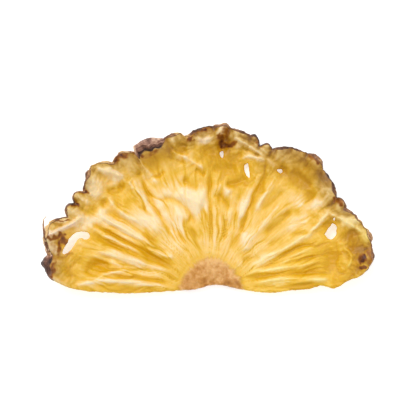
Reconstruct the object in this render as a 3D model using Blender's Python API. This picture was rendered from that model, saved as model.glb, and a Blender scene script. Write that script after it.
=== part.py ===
"""A dried pineapple half ring, cut across the fruit with its rind on, lying face up.

The slice is one thin, wavy sheet: a tough half-round core at the middle of the cut edge, flesh
that dried into folds running out from it, and a thick crimped rim of rind, one lobe for each
fruitlet. X runs along the cut edge, Y from the core to the rim, and Z up from the tray.

A place on the slice is often given as an angle round the core's centre, in degrees from the
right end of the cut, and a share of the ring's radius.
"""

import math

import bpy
import numpy as np
from mathutils import Vector
from mathutils.geometry import delaunay_2d_cdt

MM = 0.001

# ---- Driving dimensions, in millimetres ----
RING_RADIUS = 48.0  # from the core's centre to the rim, on average
CORE_RADIUS = 9.3
FLESH_THICKNESS = 1.35
CORE_THICKNESS = 2.6
RIM_THICKNESS = 2.9
RIM_DROP = 0.8  # the share of the rim's extra thickness that hangs below the flesh
RIM_THICKENS = (0.9, 0.98)  # the shares of the radius between which the sheet thickens to it
THIN_EDGE = 0.8  # the sheet's thickness round a hole
CORE_EDGE = 1.2  # how far in and out the core's edge spreads
MESH_SPACING = 1.32  # between neighbouring points of the sheet
POINT_CLEARANCE = 0.66  # the least from a point to a line of the plan, as a share of the spacing
LINE_CLEARANCE = 0.8  # and the least from one line to another
WALL_BULGE = 0.4  # how far the middle of the sheet's side stands out
UNDER_TUCK = 0.5  # how far the rim's lower edge draws in
LEAN_START = 0.86  # the share of the radius from which the rim leans in and tucks under
RUFFLE_START = 0.82  # and from which its lobes lift

# How the sheet curls as a dish round the spot that it rests on
REST_SPOT = (0.0, 20.0)
DISH_REACH = (48.0, 42.0)
DISH_HEIGHT = 4.3
LEFT_END_RAISE = 1.4
LEFT_RAISE_RANGE = (-18.0, -46.0)  # where along X that end starts to rise, and where it is up
RIM_RAISE = 1.0
RAISE_START = 0.78  # the share of the radius from which the rim rises
TRAY_LEVEL = -1.0  # where the tray flattened the lowest folds
FLATTENED = 0.8  # the share of its thickness that the sheet keeps there

# One lobe of the rim for each fruitlet or part of one, anticlockwise from the cut edge on the
# right: (where it starts in degrees, the rim's radius there, how far the lobe bulges, how far
# its rind leans in over the flesh, how high it lifts, how deep a crease it starts at)
RIM_LOBES = (
    (-6.0, 45.2, 0.6, 0.5, 0.4, 0.0),
    (8.0, 47.2, 0.5, 0.6, 0.6, 0.3),
    (15.0, 47.6, 1.2, 0.5, 0.3, 0.1),
    (22.0, 47.4, 0.7, 0.4, 0.6, 0.4),
    (31.0, 45.2, 1.4, 0.5, 0.4, 0.5),
    (36.0, 44.7, 0.9, 0.4, 0.6, 0.4),
    (47.0, 47.2, 2.0, 0.7, 0.9, 0.2),
    (54.5, 47.9, 1.2, 0.4, 0.4, 0.3),
    (66.5, 44.2, 1.5, 0.5, 0.3, 0.6),
    (71.5, 43.6, 1.7, 0.5, 0.3, 0.5),
    (75.5, 46.0, 0.4, 0.6, 0.6, 0.2),
    (83.0, 47.2, 1.0, 0.9, 1.2, 0.3),
    (89.0, 47.4, 0.4, 0.6, 0.5, 0.3),
    (96.5, 46.3, -0.4, 0.7, 0.3, 0.3),
    (101.0, 45.8, 0.9, 0.5, 0.6, 0.2),
    (107.5, 45.8, 1.5, 2.1, 1.2, 0.4),
    (118.4, 47.2, 0.0, 1.2, 0.6, 0.2),
    (119.2, 45.1, 2.0, 0.6, 0.5, 0.6),
    (128.0, 46.2, 0.7, 0.3, 0.6, 0.4),
    (134.0, 49.6, 0.7, 0.5, 0.7, 0.0),
    (142.8, 46.3, 2.1, 0.6, 0.4, 0.9),
    (147.8, 46.3, 2.1, 0.7, 0.7, 0.9),
    (153.4, 46.2, 0.8, 0.8, 0.7, 0.9),
    (157.6, 50.2, 1.8, 1.2, 1.7, 0.1),
    (168.0, 47.8, 1.9, 1.6, 0.6, 0.4),
    (174.5, 47.3, 1.0, 0.8, 0.8, 0.4),
    (186.0, 47.0, 0.8, 0.8, 0.8, 0.0),
)
TUCK_WIDTH = 1.6  # degrees
RIGHT_END = 4.6  # degrees: the cut rises to its right end
RISE_START = 34.0  # where along the cut that rise starts
# The cut's bumps and hollows: (how far along it, height, half width)
CUT_BUMPS = ((1.0, 1.5, 5.5), (18.0, -0.6, 5.0), (32.0, 1.4, 3.2))
LEFT_SAG = -0.7  # how far its left half lies below its right half
LEFT_SAG_RANGE = (-8.0, -16.0)
WAVE_HEIGHT = 0.2
WAVE_LENGTH = 3.1  # from one of its small waves' crests to the next, over twice pi
CORNER_ANGLE = 6.5  # degrees over which the cut's two ends round off
CORNER_CUT = (0.12, 0.21)  # at the right end and at the left one

# The larger folds, each along a curve through three places: (angle and share at its start,
# its middle and its end, height, half width). A height below 0 is a groove.
FOLDS = (
    (180.0, 0.84, 174.8, 0.56, 178.0, 0.21, 0.8, 1.1),
    (174.0, 0.76, 168.5, 0.71, 165.5, 0.60, -0.75, 1.7),
    (158.0, 0.40, 160.5, 0.58, 161.0, 0.76, 0.55, 2.2),
    (153.2, 0.80, 154.6, 0.60, 150.5, 0.25, -0.65, 1.2),
    (150.5, 0.86, 150.0, 0.58, 150.8, 0.23, -0.8, 1.0),
    (146.5, 0.84, 145.6, 0.64, 142.5, 0.36, 0.7, 1.2),
    (143.5, 0.80, 142.0, 0.68, 140.5, 0.52, -0.5, 1.1),
    (139.5, 0.76, 135.0, 0.62, 130.0, 0.42, 0.8, 3.0),
    (122.2, 0.72, 124.6, 0.54, 115.5, 0.25, -0.55, 1.0),
    (121.5, 0.86, 122.8, 0.73, 123.8, 0.58, -0.6, 1.2),
    (120.5, 0.62, 110.0, 0.555, 103.0, 0.37, -0.75, 1.2),
    (109.0, 0.64, 103.0, 0.56, 94.0, 0.51, 0.9, 3.4),
    (117.0, 0.51, 112.0, 0.48, 107.0, 0.44, 0.5, 2.2),
    (103.5, 0.84, 98.0, 0.775, 93.5, 0.73, 0.55, 1.0),
    (105.0, 0.70, 101.0, 0.64, 97.0, 0.61, -0.5, 1.3),
    (91.2, 0.74, 90.6, 0.50, 91.2, 0.24, -0.55, 0.9),
    (90.0, 0.56, 83.0, 0.555, 76.5, 0.47, -0.55, 1.2),
    (86.5, 0.645, 82.5, 0.615, 78.0, 0.585, 0.55, 1.8),
    (83.0, 0.645, 76.5, 0.66, 72.0, 0.715, -0.7, 1.2),
    (90.0, 0.74, 84.0, 0.73, 77.5, 0.75, -0.6, 1.8),
    (64.6, 0.80, 64.4, 0.52, 61.5, 0.24, -0.7, 1.0),
    (69.0, 0.68, 68.0, 0.58, 67.5, 0.44, 0.5, 2.2),
    (54.0, 0.75, 54.8, 0.65, 58.0, 0.56, -0.5, 1.1),
    (47.0, 0.70, 50.0, 0.53, 55.5, 0.30, 0.5, 1.0),
    (45.0, 0.68, 44.0, 0.58, 46.5, 0.45, -0.5, 1.1),
    (61.0, 0.41, 56.0, 0.355, 46.0, 0.31, 0.55, 1.9),
    (43.0, 0.25, 38.0, 0.30, 32.0, 0.36, -0.4, 1.0),
    (33.5, 0.86, 30.0, 0.60, 37.0, 0.26, 0.65, 0.9),
    (27.5, 0.68, 26.0, 0.47, 33.8, 0.21, -0.8, 1.0),
    (18.5, 0.69, 18.6, 0.48, 30.0, 0.21, 0.6, 0.9),
    (57.0, 0.845, 51.0, 0.86, 45.0, 0.85, -0.6, 1.7),
    (10.5, 0.68, 12.5, 0.46, 25.5, 0.21, -0.75, 1.2),
    (4.5, 0.72, 8.8, 0.48, 6.0, 0.21, 0.6, 1.1),
    (5.0, 0.64, 2.8, 0.52, 2.0, 0.38, -0.5, 1.5),
    (163.2, 1.085, 157.8, 0.958, 150.0, 0.882, 1.2, 0.65),
    (137.0, 0.87, 133.5, 0.835, 129.5, 0.81, -0.6, 1.2),
    (134.0, 1.02, 131.0, 0.93, 127.5, 0.85, 0.7, 1.1),
    (82.5, 0.935, 72.5, 0.882, 62.0, 0.832, 0.7, 0.75),
    (34.0, 0.83, 27.0, 0.90, 20.0, 0.97, 0.6, 0.8),
    (22.0, 0.96, 21.3, 0.88, 20.5, 0.81, -0.35, 1.7),
)
FOLD_STEPS = 16  # straight stretches that stand for a fold's curve
FOLD_TAPER = 0.2  # the share of a fold's length over which each end fades
LEAST_HALF_WIDTH = 1.35  # of a fold that this mesh can follow

# Pits left by the eyes of the fruit: (angle, share, depth, radius)
EYE_PITS = (
    (172.5, 0.87, 0.6, 2.0),
    (167.5, 0.69, 0.9, 3.0),
    (163.0, 0.95, 0.9, 1.7),
    (146.0, 0.86, 0.7, 1.9),
    (141.0, 0.83, 0.7, 1.4),
    (115.3, 0.80, 0.9, 2.6),
    (102.0, 0.86, 0.6, 2.4),
    (91.8, 0.84, 0.7, 1.5),
    (85.0, 0.88, 2.2, 1.9),
    (78.0, 0.83, 0.7, 2.2),
    (59.0, 0.84, 0.8, 1.6),
    (43.0, 0.81, 0.7, 1.6),
    (29.5, 0.80, 0.8, 1.6),
    (15.5, 0.75, 0.9, 2.4),
    (10.5, 0.72, 0.8, 2.0),
)

# The long hole at the left, along its middle: (angle, share, half width)
SLIT = (
    (166.6, 0.922, 0.95),
    (165.2, 0.900, 1.20),
    (163.2, 0.886, 1.15),
    (160.8, 0.878, 1.40),
    (158.6, 0.860, 1.60),
    (157.6, 0.832, 1.55),
    (157.2, 0.795, 1.25),
)
SLIT_STEPS = 80
# Other holes where the sheet dried right through: (angle, share, half length, half width, tilt
# of its long axis in degrees, bend)
HOLES = (
    (85.5, 0.82, 1.3, 0.8, -75.0, 0.0),
    (73.1, 0.753, 2.5, 0.9, -76.0, 0.12),
    (59.9, 0.827, 1.0, 0.9, 20.0, 0.0),
    (25.5, 0.80, 2.3, 1.8, 50.0, 0.1),
)
HOLE_SPACING = 0.8  # between the points of a hole's edge
HOLE_TAPER = 2.2  # how far from a hole the sheet thins


def smoothstep(low, high, x):
    t = np.clip((x - low) / (high - low), 0.0, 1.0)
    return t * t * (3.0 - 2.0 * t)


def polar(x, y):
    """Angle in degrees, from the right end of the cut, and distance from the core's centre."""
    angle = np.degrees(np.arctan2(y, x))
    return np.where(angle < -90.0, angle + 360.0, angle), np.hypot(x, y)


def place(angle, share):
    """The point of the plan at an angle and a share of the ring's radius."""
    turn = np.radians(angle)
    distance = share * RING_RADIUS
    return np.column_stack([distance * np.cos(turn), distance * np.sin(turn)])


def lobe_at(angle):
    """The lobe that each angle lies in: its row, the next one's, and how far across it is."""
    lobes = np.array(RIM_LOBES)
    index = np.clip(np.searchsorted(lobes[:, 0], angle, side="right") - 1, 0, len(lobes) - 2)
    first, second = lobes[index], lobes[index + 1]
    across = (angle - first[..., 0]) / (second[..., 0] - first[..., 0])
    return first, second, np.clip(across, 0.0, 1.0)


def rim_radius(angle):
    """The lobed rim: each lobe is an arch between its two ends."""
    first, second, t = lobe_at(angle)
    arch = first[..., 2] * np.power(np.clip(4.0 * t * (1.0 - t), 0.0, 1.0), 0.75)
    return first[..., 1] * (1.0 - t) + second[..., 1] * t + arch


def rim_lean(angle):
    first, second, t = lobe_at(angle)
    return first[..., 3] * np.sin(math.pi * t) ** 0.5


def tucks(angle):
    """How deep the crease between two lobes is at each angle, falling to 0 inside them."""
    lobes = np.array(RIM_LOBES)
    return (lobes[:, 5] * np.exp(-(((angle[..., None] - lobes[:, 0]) / TUCK_WIDTH) ** 2))).max(axis=-1)


def cut_edge(x):
    """The wavy cut: how far it strays from a straight line at each x."""
    stray = LEFT_SAG * smoothstep(*LEFT_SAG_RANGE, x) + WAVE_HEIGHT * np.sin(x / WAVE_LENGTH)
    for along, height, half_width in CUT_BUMPS:
        stray += height * np.exp(-(((x - along) / half_width) ** 2))
    return stray


def outline():
    """The slice's outline, anticlockwise from the right end of the cut."""
    angle = np.linspace(RIGHT_END, 180.0, 361)
    from_end = np.minimum(angle - RIGHT_END, 180.0 - angle)
    cut = np.where(angle < 90.0, *CORNER_CUT)
    corner = 1.0 - cut * np.clip(1.0 - from_end / CORNER_ANGLE, 0.0, 1.0) ** 2
    arc = place(angle, corner * rim_radius(angle) / RING_RADIUS)
    left, (right, end_height) = arc[-1, 0], arc[0]
    x = np.linspace(left, right, 200)[1:-1]
    fade = smoothstep(0.0, 4.0, np.minimum(x - left, right - x))
    rise = end_height * smoothstep(RISE_START, right, x)
    cut = np.column_stack([x, rise + cut_edge(x) * fade])
    return even_points(np.vstack([arc, cut]), MESH_SPACING)


def slit_edge():
    """The long hole's edge: both sides of its middle line, rounded off at its ends."""
    rows = np.array(SLIT)
    at = np.linspace(0.0, len(rows) - 1.0, SLIT_STEPS)
    angle, share, half_width = (np.interp(at, np.arange(len(rows)), column) for column in rows.T)
    middle = place(angle, share)
    run = np.gradient(middle, axis=0)
    across = np.column_stack([-run[:, 1], run[:, 0]])
    across = smoothed_line(across / np.hypot(run[:, 0], run[:, 1])[:, None])
    rounded = np.sqrt(1.0 - np.abs(np.linspace(-1.0, 1.0, SLIT_STEPS)) ** 6)
    side = across * (half_width * rounded)[:, None]
    loop = np.vstack([middle + side, (middle - side)[::-1]])
    return even_points(loop, HOLE_SPACING)


def smoothed_line(line):
    """A line of points, each the average of those near it."""
    reach = SLIT_STEPS // 10
    padded = np.pad(line, ((reach, reach), (0, 0)), mode="edge")
    return sum(padded[i : i + len(line)] for i in range(2 * reach + 1)) / (2 * reach + 1)


def hole_edge(angle, share, half_length, half_width, tilt, bend):
    """The uneven edge of one hole: an oval, bent along its long axis."""
    turn = np.linspace(0.0, 2.0 * math.pi, 120, endpoint=False)
    uneven = 1.0 + 0.12 * np.sin(2.0 * turn + angle) + 0.08 * np.sin(3.0 * turn + 2.0 * angle)
    along = half_length * np.cos(turn) * uneven
    across = half_width * np.sign(np.sin(turn)) * np.abs(np.sin(turn)) ** 0.7 * uneven
    across += bend * (along**2 / half_length - half_length / 2.0)
    lean = math.radians(tilt)
    x = along * math.cos(lean) - across * math.sin(lean)
    y = along * math.sin(lean) + across * math.cos(lean)
    return even_points(place(np.array([angle]), share) + np.column_stack([x, y]), HOLE_SPACING)


def even_points(loop, spacing):
    """The same closed loop, with points about as far apart as spacing."""
    closed = np.vstack([loop, loop[:1]])
    run = np.concatenate([[0.0], np.cumsum(np.hypot(*np.diff(closed, axis=0).T))])
    at = np.linspace(0.0, run[-1], max(6, round(run[-1] / spacing)), endpoint=False)
    return np.column_stack([np.interp(at, run, closed[:, 0]), np.interp(at, run, closed[:, 1])])


def fold_curve(fold, steps=FOLD_STEPS):
    """Points along a fold: the smooth curve through its three places."""
    t = np.linspace(0.0, 1.0, steps + 1)
    weights = ((1.0 - t) * (1.0 - 2.0 * t), 4.0 * t * (1.0 - t), t * (2.0 * t - 1.0))
    angle = sum(w * fold[2 * i] for i, w in enumerate(weights))
    share = sum(w * fold[2 * i + 1] for i, w in enumerate(weights))
    return place(angle, share)


def inside(points, loop):
    """Which points lie in a closed loop."""
    x, y = points[:, :1], points[:, 1:]
    x1, y1 = loop[:, 0], loop[:, 1]
    x2, y2 = np.roll(x1, -1), np.roll(y1, -1)
    spans = (y1 > y) != (y2 > y)
    crossing = x1 + (y - y1) * (x2 - x1) / np.where(y2 == y1, 1.0, y2 - y1)
    return (spans & (x < crossing)).sum(axis=1) % 2 == 1


def nearest(points, others):
    """Each point's distance from the nearest of the others."""
    return np.sqrt(((points[:, None, :] - others[None, :, :]) ** 2).sum(axis=2)).min(axis=1)


def crease_lines(rim, holes):
    """Lines of the plan that follow the folds, so that their crests and floors are edges."""
    around = np.vstack([rim, *holes])
    lines, taken = [], around
    for fold in sorted(FOLDS, key=lambda row: -abs(row[6])):
        curve = fold_curve(fold)
        length = np.hypot(*np.diff(curve, axis=0).T).sum()
        line = fold_curve(fold, max(2, round(length / MESH_SPACING)))
        clear = inside(line, rim) & (nearest(line, taken) > LINE_CLEARANCE * MESH_SPACING)
        for hole in holes:
            clear &= ~inside(line, hole)
        runs = np.split(np.arange(len(line)), np.flatnonzero(np.diff(clear.astype(int))) + 1)
        for run in runs:
            if clear[run[0]] and len(run) > 1:
                lines.append(line[run])
                taken = np.vstack([taken, line[run]])
    return lines


def flat_sheet(rim, holes):
    """The slice's plan as triangles: its points, its faces and its open edges."""
    rows = np.arange(-2.0, RING_RADIUS + 6.0, MESH_SPACING * math.sqrt(0.75))
    steps = np.arange(-RING_RADIUS - 6.0, RING_RADIUS + 6.0, MESH_SPACING)
    grid = np.array([(x + (i % 2) * MESH_SPACING / 2, y) for i, y in enumerate(rows) for x in steps])
    creases = crease_lines(rim, holes)
    from_lines = nearest(grid, np.vstack([rim, *holes, *creases]))
    keep = inside(grid, rim) & (from_lines > POINT_CLEARANCE * MESH_SPACING)
    for hole in holes:
        keep &= ~inside(grid, hole)
    edges, start = [], 0
    for loop in (rim, *holes):
        edges += [(start + i, start + (i + 1) % len(loop)) for i in range(len(loop))]
        start += len(loop)
    for line in creases:
        edges += [(start + i, start + i + 1) for i in range(len(line) - 1)]
        start += len(line)
    points = np.vstack([rim, *holes, *creases, grid[keep]])
    made = delaunay_2d_cdt([Vector(p) for p in points], edges, [], 0, 1e-6)
    points, faces = np.array([tuple(p) for p in made[0]]), np.array(made[2])
    a, b, c = (points[faces[:, i]] for i in range(3))
    middle = (a + b + c) / 3.0
    kept = inside(middle, rim)
    for hole in holes:
        kept &= ~inside(middle, hole)
    clockwise = (b - a)[:, 0] * (c - a)[:, 1] < (b - a)[:, 1] * (c - a)[:, 0]
    faces[clockwise] = faces[clockwise][:, ::-1]
    return points, faces[kept], open_edges(faces[kept])


def open_edges(faces):
    """The directed edges that only one face has."""
    directed = {(int(f[i]), int(f[(i + 1) % 3])) for f in faces for i in range(3)}
    return sorted(edge for edge in directed if edge[::-1] not in directed)


def dish(x, y, share):
    """How high the sheet curls off the tray."""
    across = (x - REST_SPOT[0]) / DISH_REACH[0]
    along = (y - REST_SPOT[1]) / DISH_REACH[1]
    raised = LEFT_END_RAISE * smoothstep(*LEFT_RAISE_RANGE, x)
    return DISH_HEIGHT * (across**2 + along**2) + raised + RIM_RAISE * smoothstep(RAISE_START, 1.0, share)


def fold_relief(x, y, fold):
    """One fold's height at each point."""
    height, half_width = fold[6], max(fold[7], LEAST_HALF_WIDTH)
    curve = fold_curve(fold)
    reach = 2.5 * half_width
    low, high = curve.min(axis=0) - reach, curve.max(axis=0) + reach
    near = (x > low[0]) & (x < high[0]) & (y > low[1]) & (y < high[1])
    points = np.column_stack([x[near], y[near]])
    closest = np.full(len(points), np.inf)
    along = np.zeros(len(points))
    for i, (a, b) in enumerate(zip(curve[:-1], curve[1:])):
        run = b - a
        t = np.clip(((points - a) @ run) / (run @ run), 0.0, 1.0)
        away = np.hypot(*(points - a - t[:, None] * run).T)
        along = np.where(away < closest, (i + t) / FOLD_STEPS, along)
        closest = np.minimum(away, closest)
    fade = smoothstep(0.0, FOLD_TAPER, along) * smoothstep(1.0, 1.0 - FOLD_TAPER, along)
    relief = np.zeros_like(x)
    relief[near] = height * fade * np.exp(-((closest / half_width) ** 2))
    return relief


def eye_pits(x, y):
    relief = np.zeros_like(x)
    for angle, share, depth, radius in EYE_PITS:
        centre = place(np.array([angle]), share)[0]
        away = np.hypot(x - centre[0], y - centre[1])
        relief -= depth * np.exp(-((away / radius) ** 2))
    return relief


def rim_ruffle(angle, share):
    """The lobes lift at the rim and tuck down between each other."""
    first, _, t = lobe_at(angle)
    near = smoothstep(RUFFLE_START, 1.0, share)
    return near * (first[..., 4] * np.sin(math.pi * t) ** 1.5 - tucks(angle))


def thickness(distance, share, from_hole):
    """How far the sheet's two faces lie above and below its middle."""
    core = smoothstep(CORE_RADIUS + CORE_EDGE, CORE_RADIUS - CORE_EDGE, distance)
    half = (FLESH_THICKNESS + (CORE_THICKNESS - FLESH_THICKNESS) * core) / 2.0
    extra = (RIM_THICKNESS - FLESH_THICKNESS) * smoothstep(*RIM_THICKENS, share)
    whole = smoothstep(0.0, HOLE_TAPER, from_hole)
    above = THIN_EDGE / 2.0 + (half + extra * (1.0 - RIM_DROP) - THIN_EDGE / 2.0) * whole
    below = THIN_EDGE / 2.0 + (half + extra * RIM_DROP - THIN_EDGE / 2.0) * whole
    return above, below


def sheet_faces(points, hole_points):
    """The upper and lower face's points over the flat sheet's points."""
    x, y = points[:, 0], points[:, 1]
    angle, distance = polar(x, y)
    share = distance / rim_radius(angle)
    above, below = thickness(distance, share, nearest(points, hole_points))
    middle = dish(x, y, share) + eye_pits(x, y) + rim_ruffle(angle, share)
    for fold in FOLDS:
        middle += fold_relief(x, y, fold)
    lower = np.maximum(middle - below - TRAY_LEVEL, 0.0)
    upper = np.maximum(middle + above - TRAY_LEVEL, lower + FLATTENED * (above + below))
    at_rim = smoothstep(LEAN_START, 1.0, share)
    inward = -np.column_stack([x, y]) / np.maximum(distance, 1.0)[:, None]
    top = np.column_stack([points + inward * (rim_lean(angle) * at_rim)[:, None], upper])
    return top, np.column_stack([points + inward * (UNDER_TUCK * at_rim)[:, None], lower])


def wall_points(points, edges, top, bottom):
    """The middle of the sheet's side, standing out from its open edges: one for each point."""
    outward = np.zeros_like(points)
    for a, b in edges:
        run = points[b] - points[a]
        normal = np.array([run[1], -run[0]]) / np.hypot(*run)
        outward[a] += normal
        outward[b] += normal
    length = np.hypot(outward[:, 0], outward[:, 1])
    outward /= np.where(length > 0.0, length, 1.0)[:, None]
    middle = (top + bottom) / 2.0
    middle[:, :2] += WALL_BULGE * outward
    return middle


def half_ring():
    rim = outline()
    holes = [slit_edge(), *(hole_edge(*hole) for hole in HOLES)]
    points, faces, edges = flat_sheet(rim, holes)
    top, bottom = sheet_faces(points, np.vstack(holes))
    wall = wall_points(points, edges, top, bottom)
    used = sorted({i for edge in edges for i in edge})
    wall_index = {point: 2 * len(points) + k for k, point in enumerate(used)}
    under = len(points)
    quads = []
    for a, b in edges:
        quads.append((b, a, wall_index[a], wall_index[b]))
        quads.append((wall_index[b], wall_index[a], under + a, under + b))
    triangles = [tuple(f) for f in faces.tolist()]
    triangles += [tuple(under + i for i in reversed(f)) for f in faces.tolist()]
    vertices = np.vstack([top, bottom, wall[used]])
    low, high = vertices.min(axis=0), vertices.max(axis=0)
    vertices -= [(low[0] + high[0]) / 2.0, (low[1] + high[1]) / 2.0, low[2]]
    mesh = bpy.data.meshes.new("half_ring")
    mesh.from_pydata((vertices * MM).tolist(), [], triangles + quads)
    mesh.shade_smooth()
    obj = bpy.data.objects.new("half_ring", mesh)
    bpy.context.scene.collection.objects.link(obj)
    return obj


def material(name, colour, roughness):
    made = bpy.data.materials.new(name)
    made.use_nodes = True
    shader = made.node_tree.nodes["Principled BSDF"]
    shader.inputs["Base Color"].default_value = (*colour, 1.0)
    shader.inputs["Roughness"].default_value = roughness
    return made


def main():
    for obj in list(bpy.data.objects):
        bpy.data.objects.remove(obj)
    slice_ = half_ring()
    slice_.data.materials.append(material("dried_pineapple", (0.82, 0.50, 0.12), 0.5))


main()
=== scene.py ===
"""A dried pineapple half ring lying face up on a pale table, seen from above its cut edge.

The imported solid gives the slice's size and place. One finer piece stands for it: the same sheet,
worked out from named lobes, folds, pits and holes as the solid is, with the pleats, crimps, grain
and crumpled rind that are too fine for it. Lengths are in millimetres in the core's own frame,
with X along the cut edge and Y from the core to the rim, until the mesh is written in metres in
the frame's.

A place on the slice is often given as an angle round the core's centre, in degrees from the
right end of the cut, and a share of the ring's radius.
"""

import math

import bpy
import numpy as np
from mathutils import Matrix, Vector
from mathutils.geometry import delaunay_2d_cdt


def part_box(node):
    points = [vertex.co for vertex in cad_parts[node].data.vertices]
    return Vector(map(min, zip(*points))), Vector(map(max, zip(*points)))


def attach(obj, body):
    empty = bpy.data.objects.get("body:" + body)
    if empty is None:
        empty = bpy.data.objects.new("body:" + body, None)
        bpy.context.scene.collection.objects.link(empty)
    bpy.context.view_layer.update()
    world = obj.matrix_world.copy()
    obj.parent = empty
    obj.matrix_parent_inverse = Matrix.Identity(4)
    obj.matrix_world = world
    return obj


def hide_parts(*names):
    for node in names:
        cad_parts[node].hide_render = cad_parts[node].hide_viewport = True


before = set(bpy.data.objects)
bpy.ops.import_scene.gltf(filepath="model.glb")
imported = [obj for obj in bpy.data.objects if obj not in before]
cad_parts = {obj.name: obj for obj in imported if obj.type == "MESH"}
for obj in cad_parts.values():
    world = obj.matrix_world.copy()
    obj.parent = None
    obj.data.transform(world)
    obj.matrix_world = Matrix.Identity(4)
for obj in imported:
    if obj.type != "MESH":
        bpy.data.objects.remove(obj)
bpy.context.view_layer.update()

MM = 0.001

# ---- The slice's dimensions, in millimetres ----
# They are the solid's, but for the bulge of its side, eight folds, the edge of the long hole and
# one pin hole, which follow the fruit more closely.
RING_RADIUS = 48.0  # from the core's centre to the rim, on average
CORE_RADIUS = 9.3
FLESH_THICKNESS = 1.35
CORE_THICKNESS = 2.6
RIM_THICKNESS = 2.9
RIM_DROP = 0.8  # the share of the rim's extra thickness that hangs below the flesh
RIM_THICKENS = (0.9, 0.98)  # the shares of the radius between which the sheet thickens to it
THIN_EDGE = 0.8  # the sheet's thickness round a hole
WALL_BULGE = 0.3  # how far the middle of the sheet's side stands out
UNDER_TUCK = 0.5  # how far the rim's lower edge draws in
LEAN_START = 0.86  # the share of the radius from which the rim leans in and tucks under
RUFFLE_START = 0.82  # and from which its lobes lift

# How the sheet curls as a dish round the spot that it rests on
REST_SPOT = (0.0, 20.0)
DISH_REACH = (48.0, 42.0)
DISH_HEIGHT = 4.3
LEFT_END_RAISE = 1.4
LEFT_RAISE_RANGE = (-18.0, -46.0)  # where along X that end starts to rise, and where it is up
RIM_RAISE = 1.0
RAISE_START = 0.78  # the share of the radius from which the rim rises
TRAY_LEVEL = -1.0  # where the tray flattened the lowest folds

# One lobe of the rim for each fruitlet or part of one, anticlockwise from the cut edge on the
# right: (where it starts in degrees, the rim's radius there, how far the lobe bulges, how far
# its rind leans in over the flesh, how high it lifts, how deep a crease it starts at)
RIM_LOBES = (
    (-6.0, 45.2, 0.6, 0.5, 0.4, 0.0),
    (8.0, 47.2, 0.5, 0.6, 0.6, 0.3),
    (15.0, 47.6, 1.2, 0.5, 0.3, 0.1),
    (22.0, 47.4, 0.7, 0.4, 0.6, 0.4),
    (31.0, 45.2, 1.4, 0.5, 0.4, 0.5),
    (36.0, 44.7, 0.9, 0.4, 0.6, 0.4),
    (47.0, 47.2, 2.0, 0.7, 0.9, 0.2),
    (54.5, 47.9, 1.2, 0.4, 0.4, 0.3),
    (66.5, 44.2, 1.5, 0.5, 0.3, 0.6),
    (71.5, 43.6, 1.7, 0.5, 0.3, 0.5),
    (75.5, 46.0, 0.4, 0.6, 0.6, 0.2),
    (83.0, 47.2, 1.0, 0.9, 1.2, 0.3),
    (89.0, 47.4, 0.4, 0.6, 0.5, 0.3),
    (96.5, 46.3, -0.4, 0.7, 0.3, 0.3),
    (101.0, 45.8, 0.9, 0.5, 0.6, 0.2),
    (107.5, 45.8, 1.5, 2.1, 1.2, 0.4),
    (118.4, 47.2, 0.0, 1.2, 0.6, 0.2),
    (119.2, 45.1, 2.0, 0.6, 0.5, 0.6),
    (128.0, 46.2, 0.7, 0.3, 0.6, 0.4),
    (134.0, 49.6, 0.7, 0.5, 0.7, 0.0),
    (142.8, 46.3, 2.1, 0.6, 0.4, 0.9),
    (147.8, 46.3, 2.1, 0.7, 0.7, 0.9),
    (153.4, 46.2, 0.8, 0.8, 0.7, 0.9),
    (157.6, 50.2, 1.8, 1.2, 1.7, 0.1),
    (168.0, 47.8, 1.9, 1.6, 0.6, 0.4),
    (174.5, 47.3, 1.0, 0.8, 0.8, 0.4),
    (186.0, 47.0, 0.8, 0.8, 0.8, 0.0),
)
TUCK_WIDTH = 1.6  # degrees
RIGHT_END = 4.6  # degrees: the cut rises to its right end
RISE_START = 34.0  # where along the cut that rise starts
# Where the cut strays from a straight line: (place along it, height, half width)
CUT_BUMPS = ((1.0, 1.5, 5.5), (18.0, -0.6, 5.0), (32.0, 1.4, 3.2))
LEFT_SAG = -0.7  # how far its left half lies below its right half
LEFT_SAG_RANGE = (-8.0, -16.0)
WAVE_HEIGHT = 0.2
WAVE_LENGTH = 3.1  # from one of its small waves' crests to the next, over twice pi
CORNER_ANGLE = 6.5  # degrees over which the cut's two ends round off
CORNER_CUT = (0.12, 0.21)  # at the right end and at the left one

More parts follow.
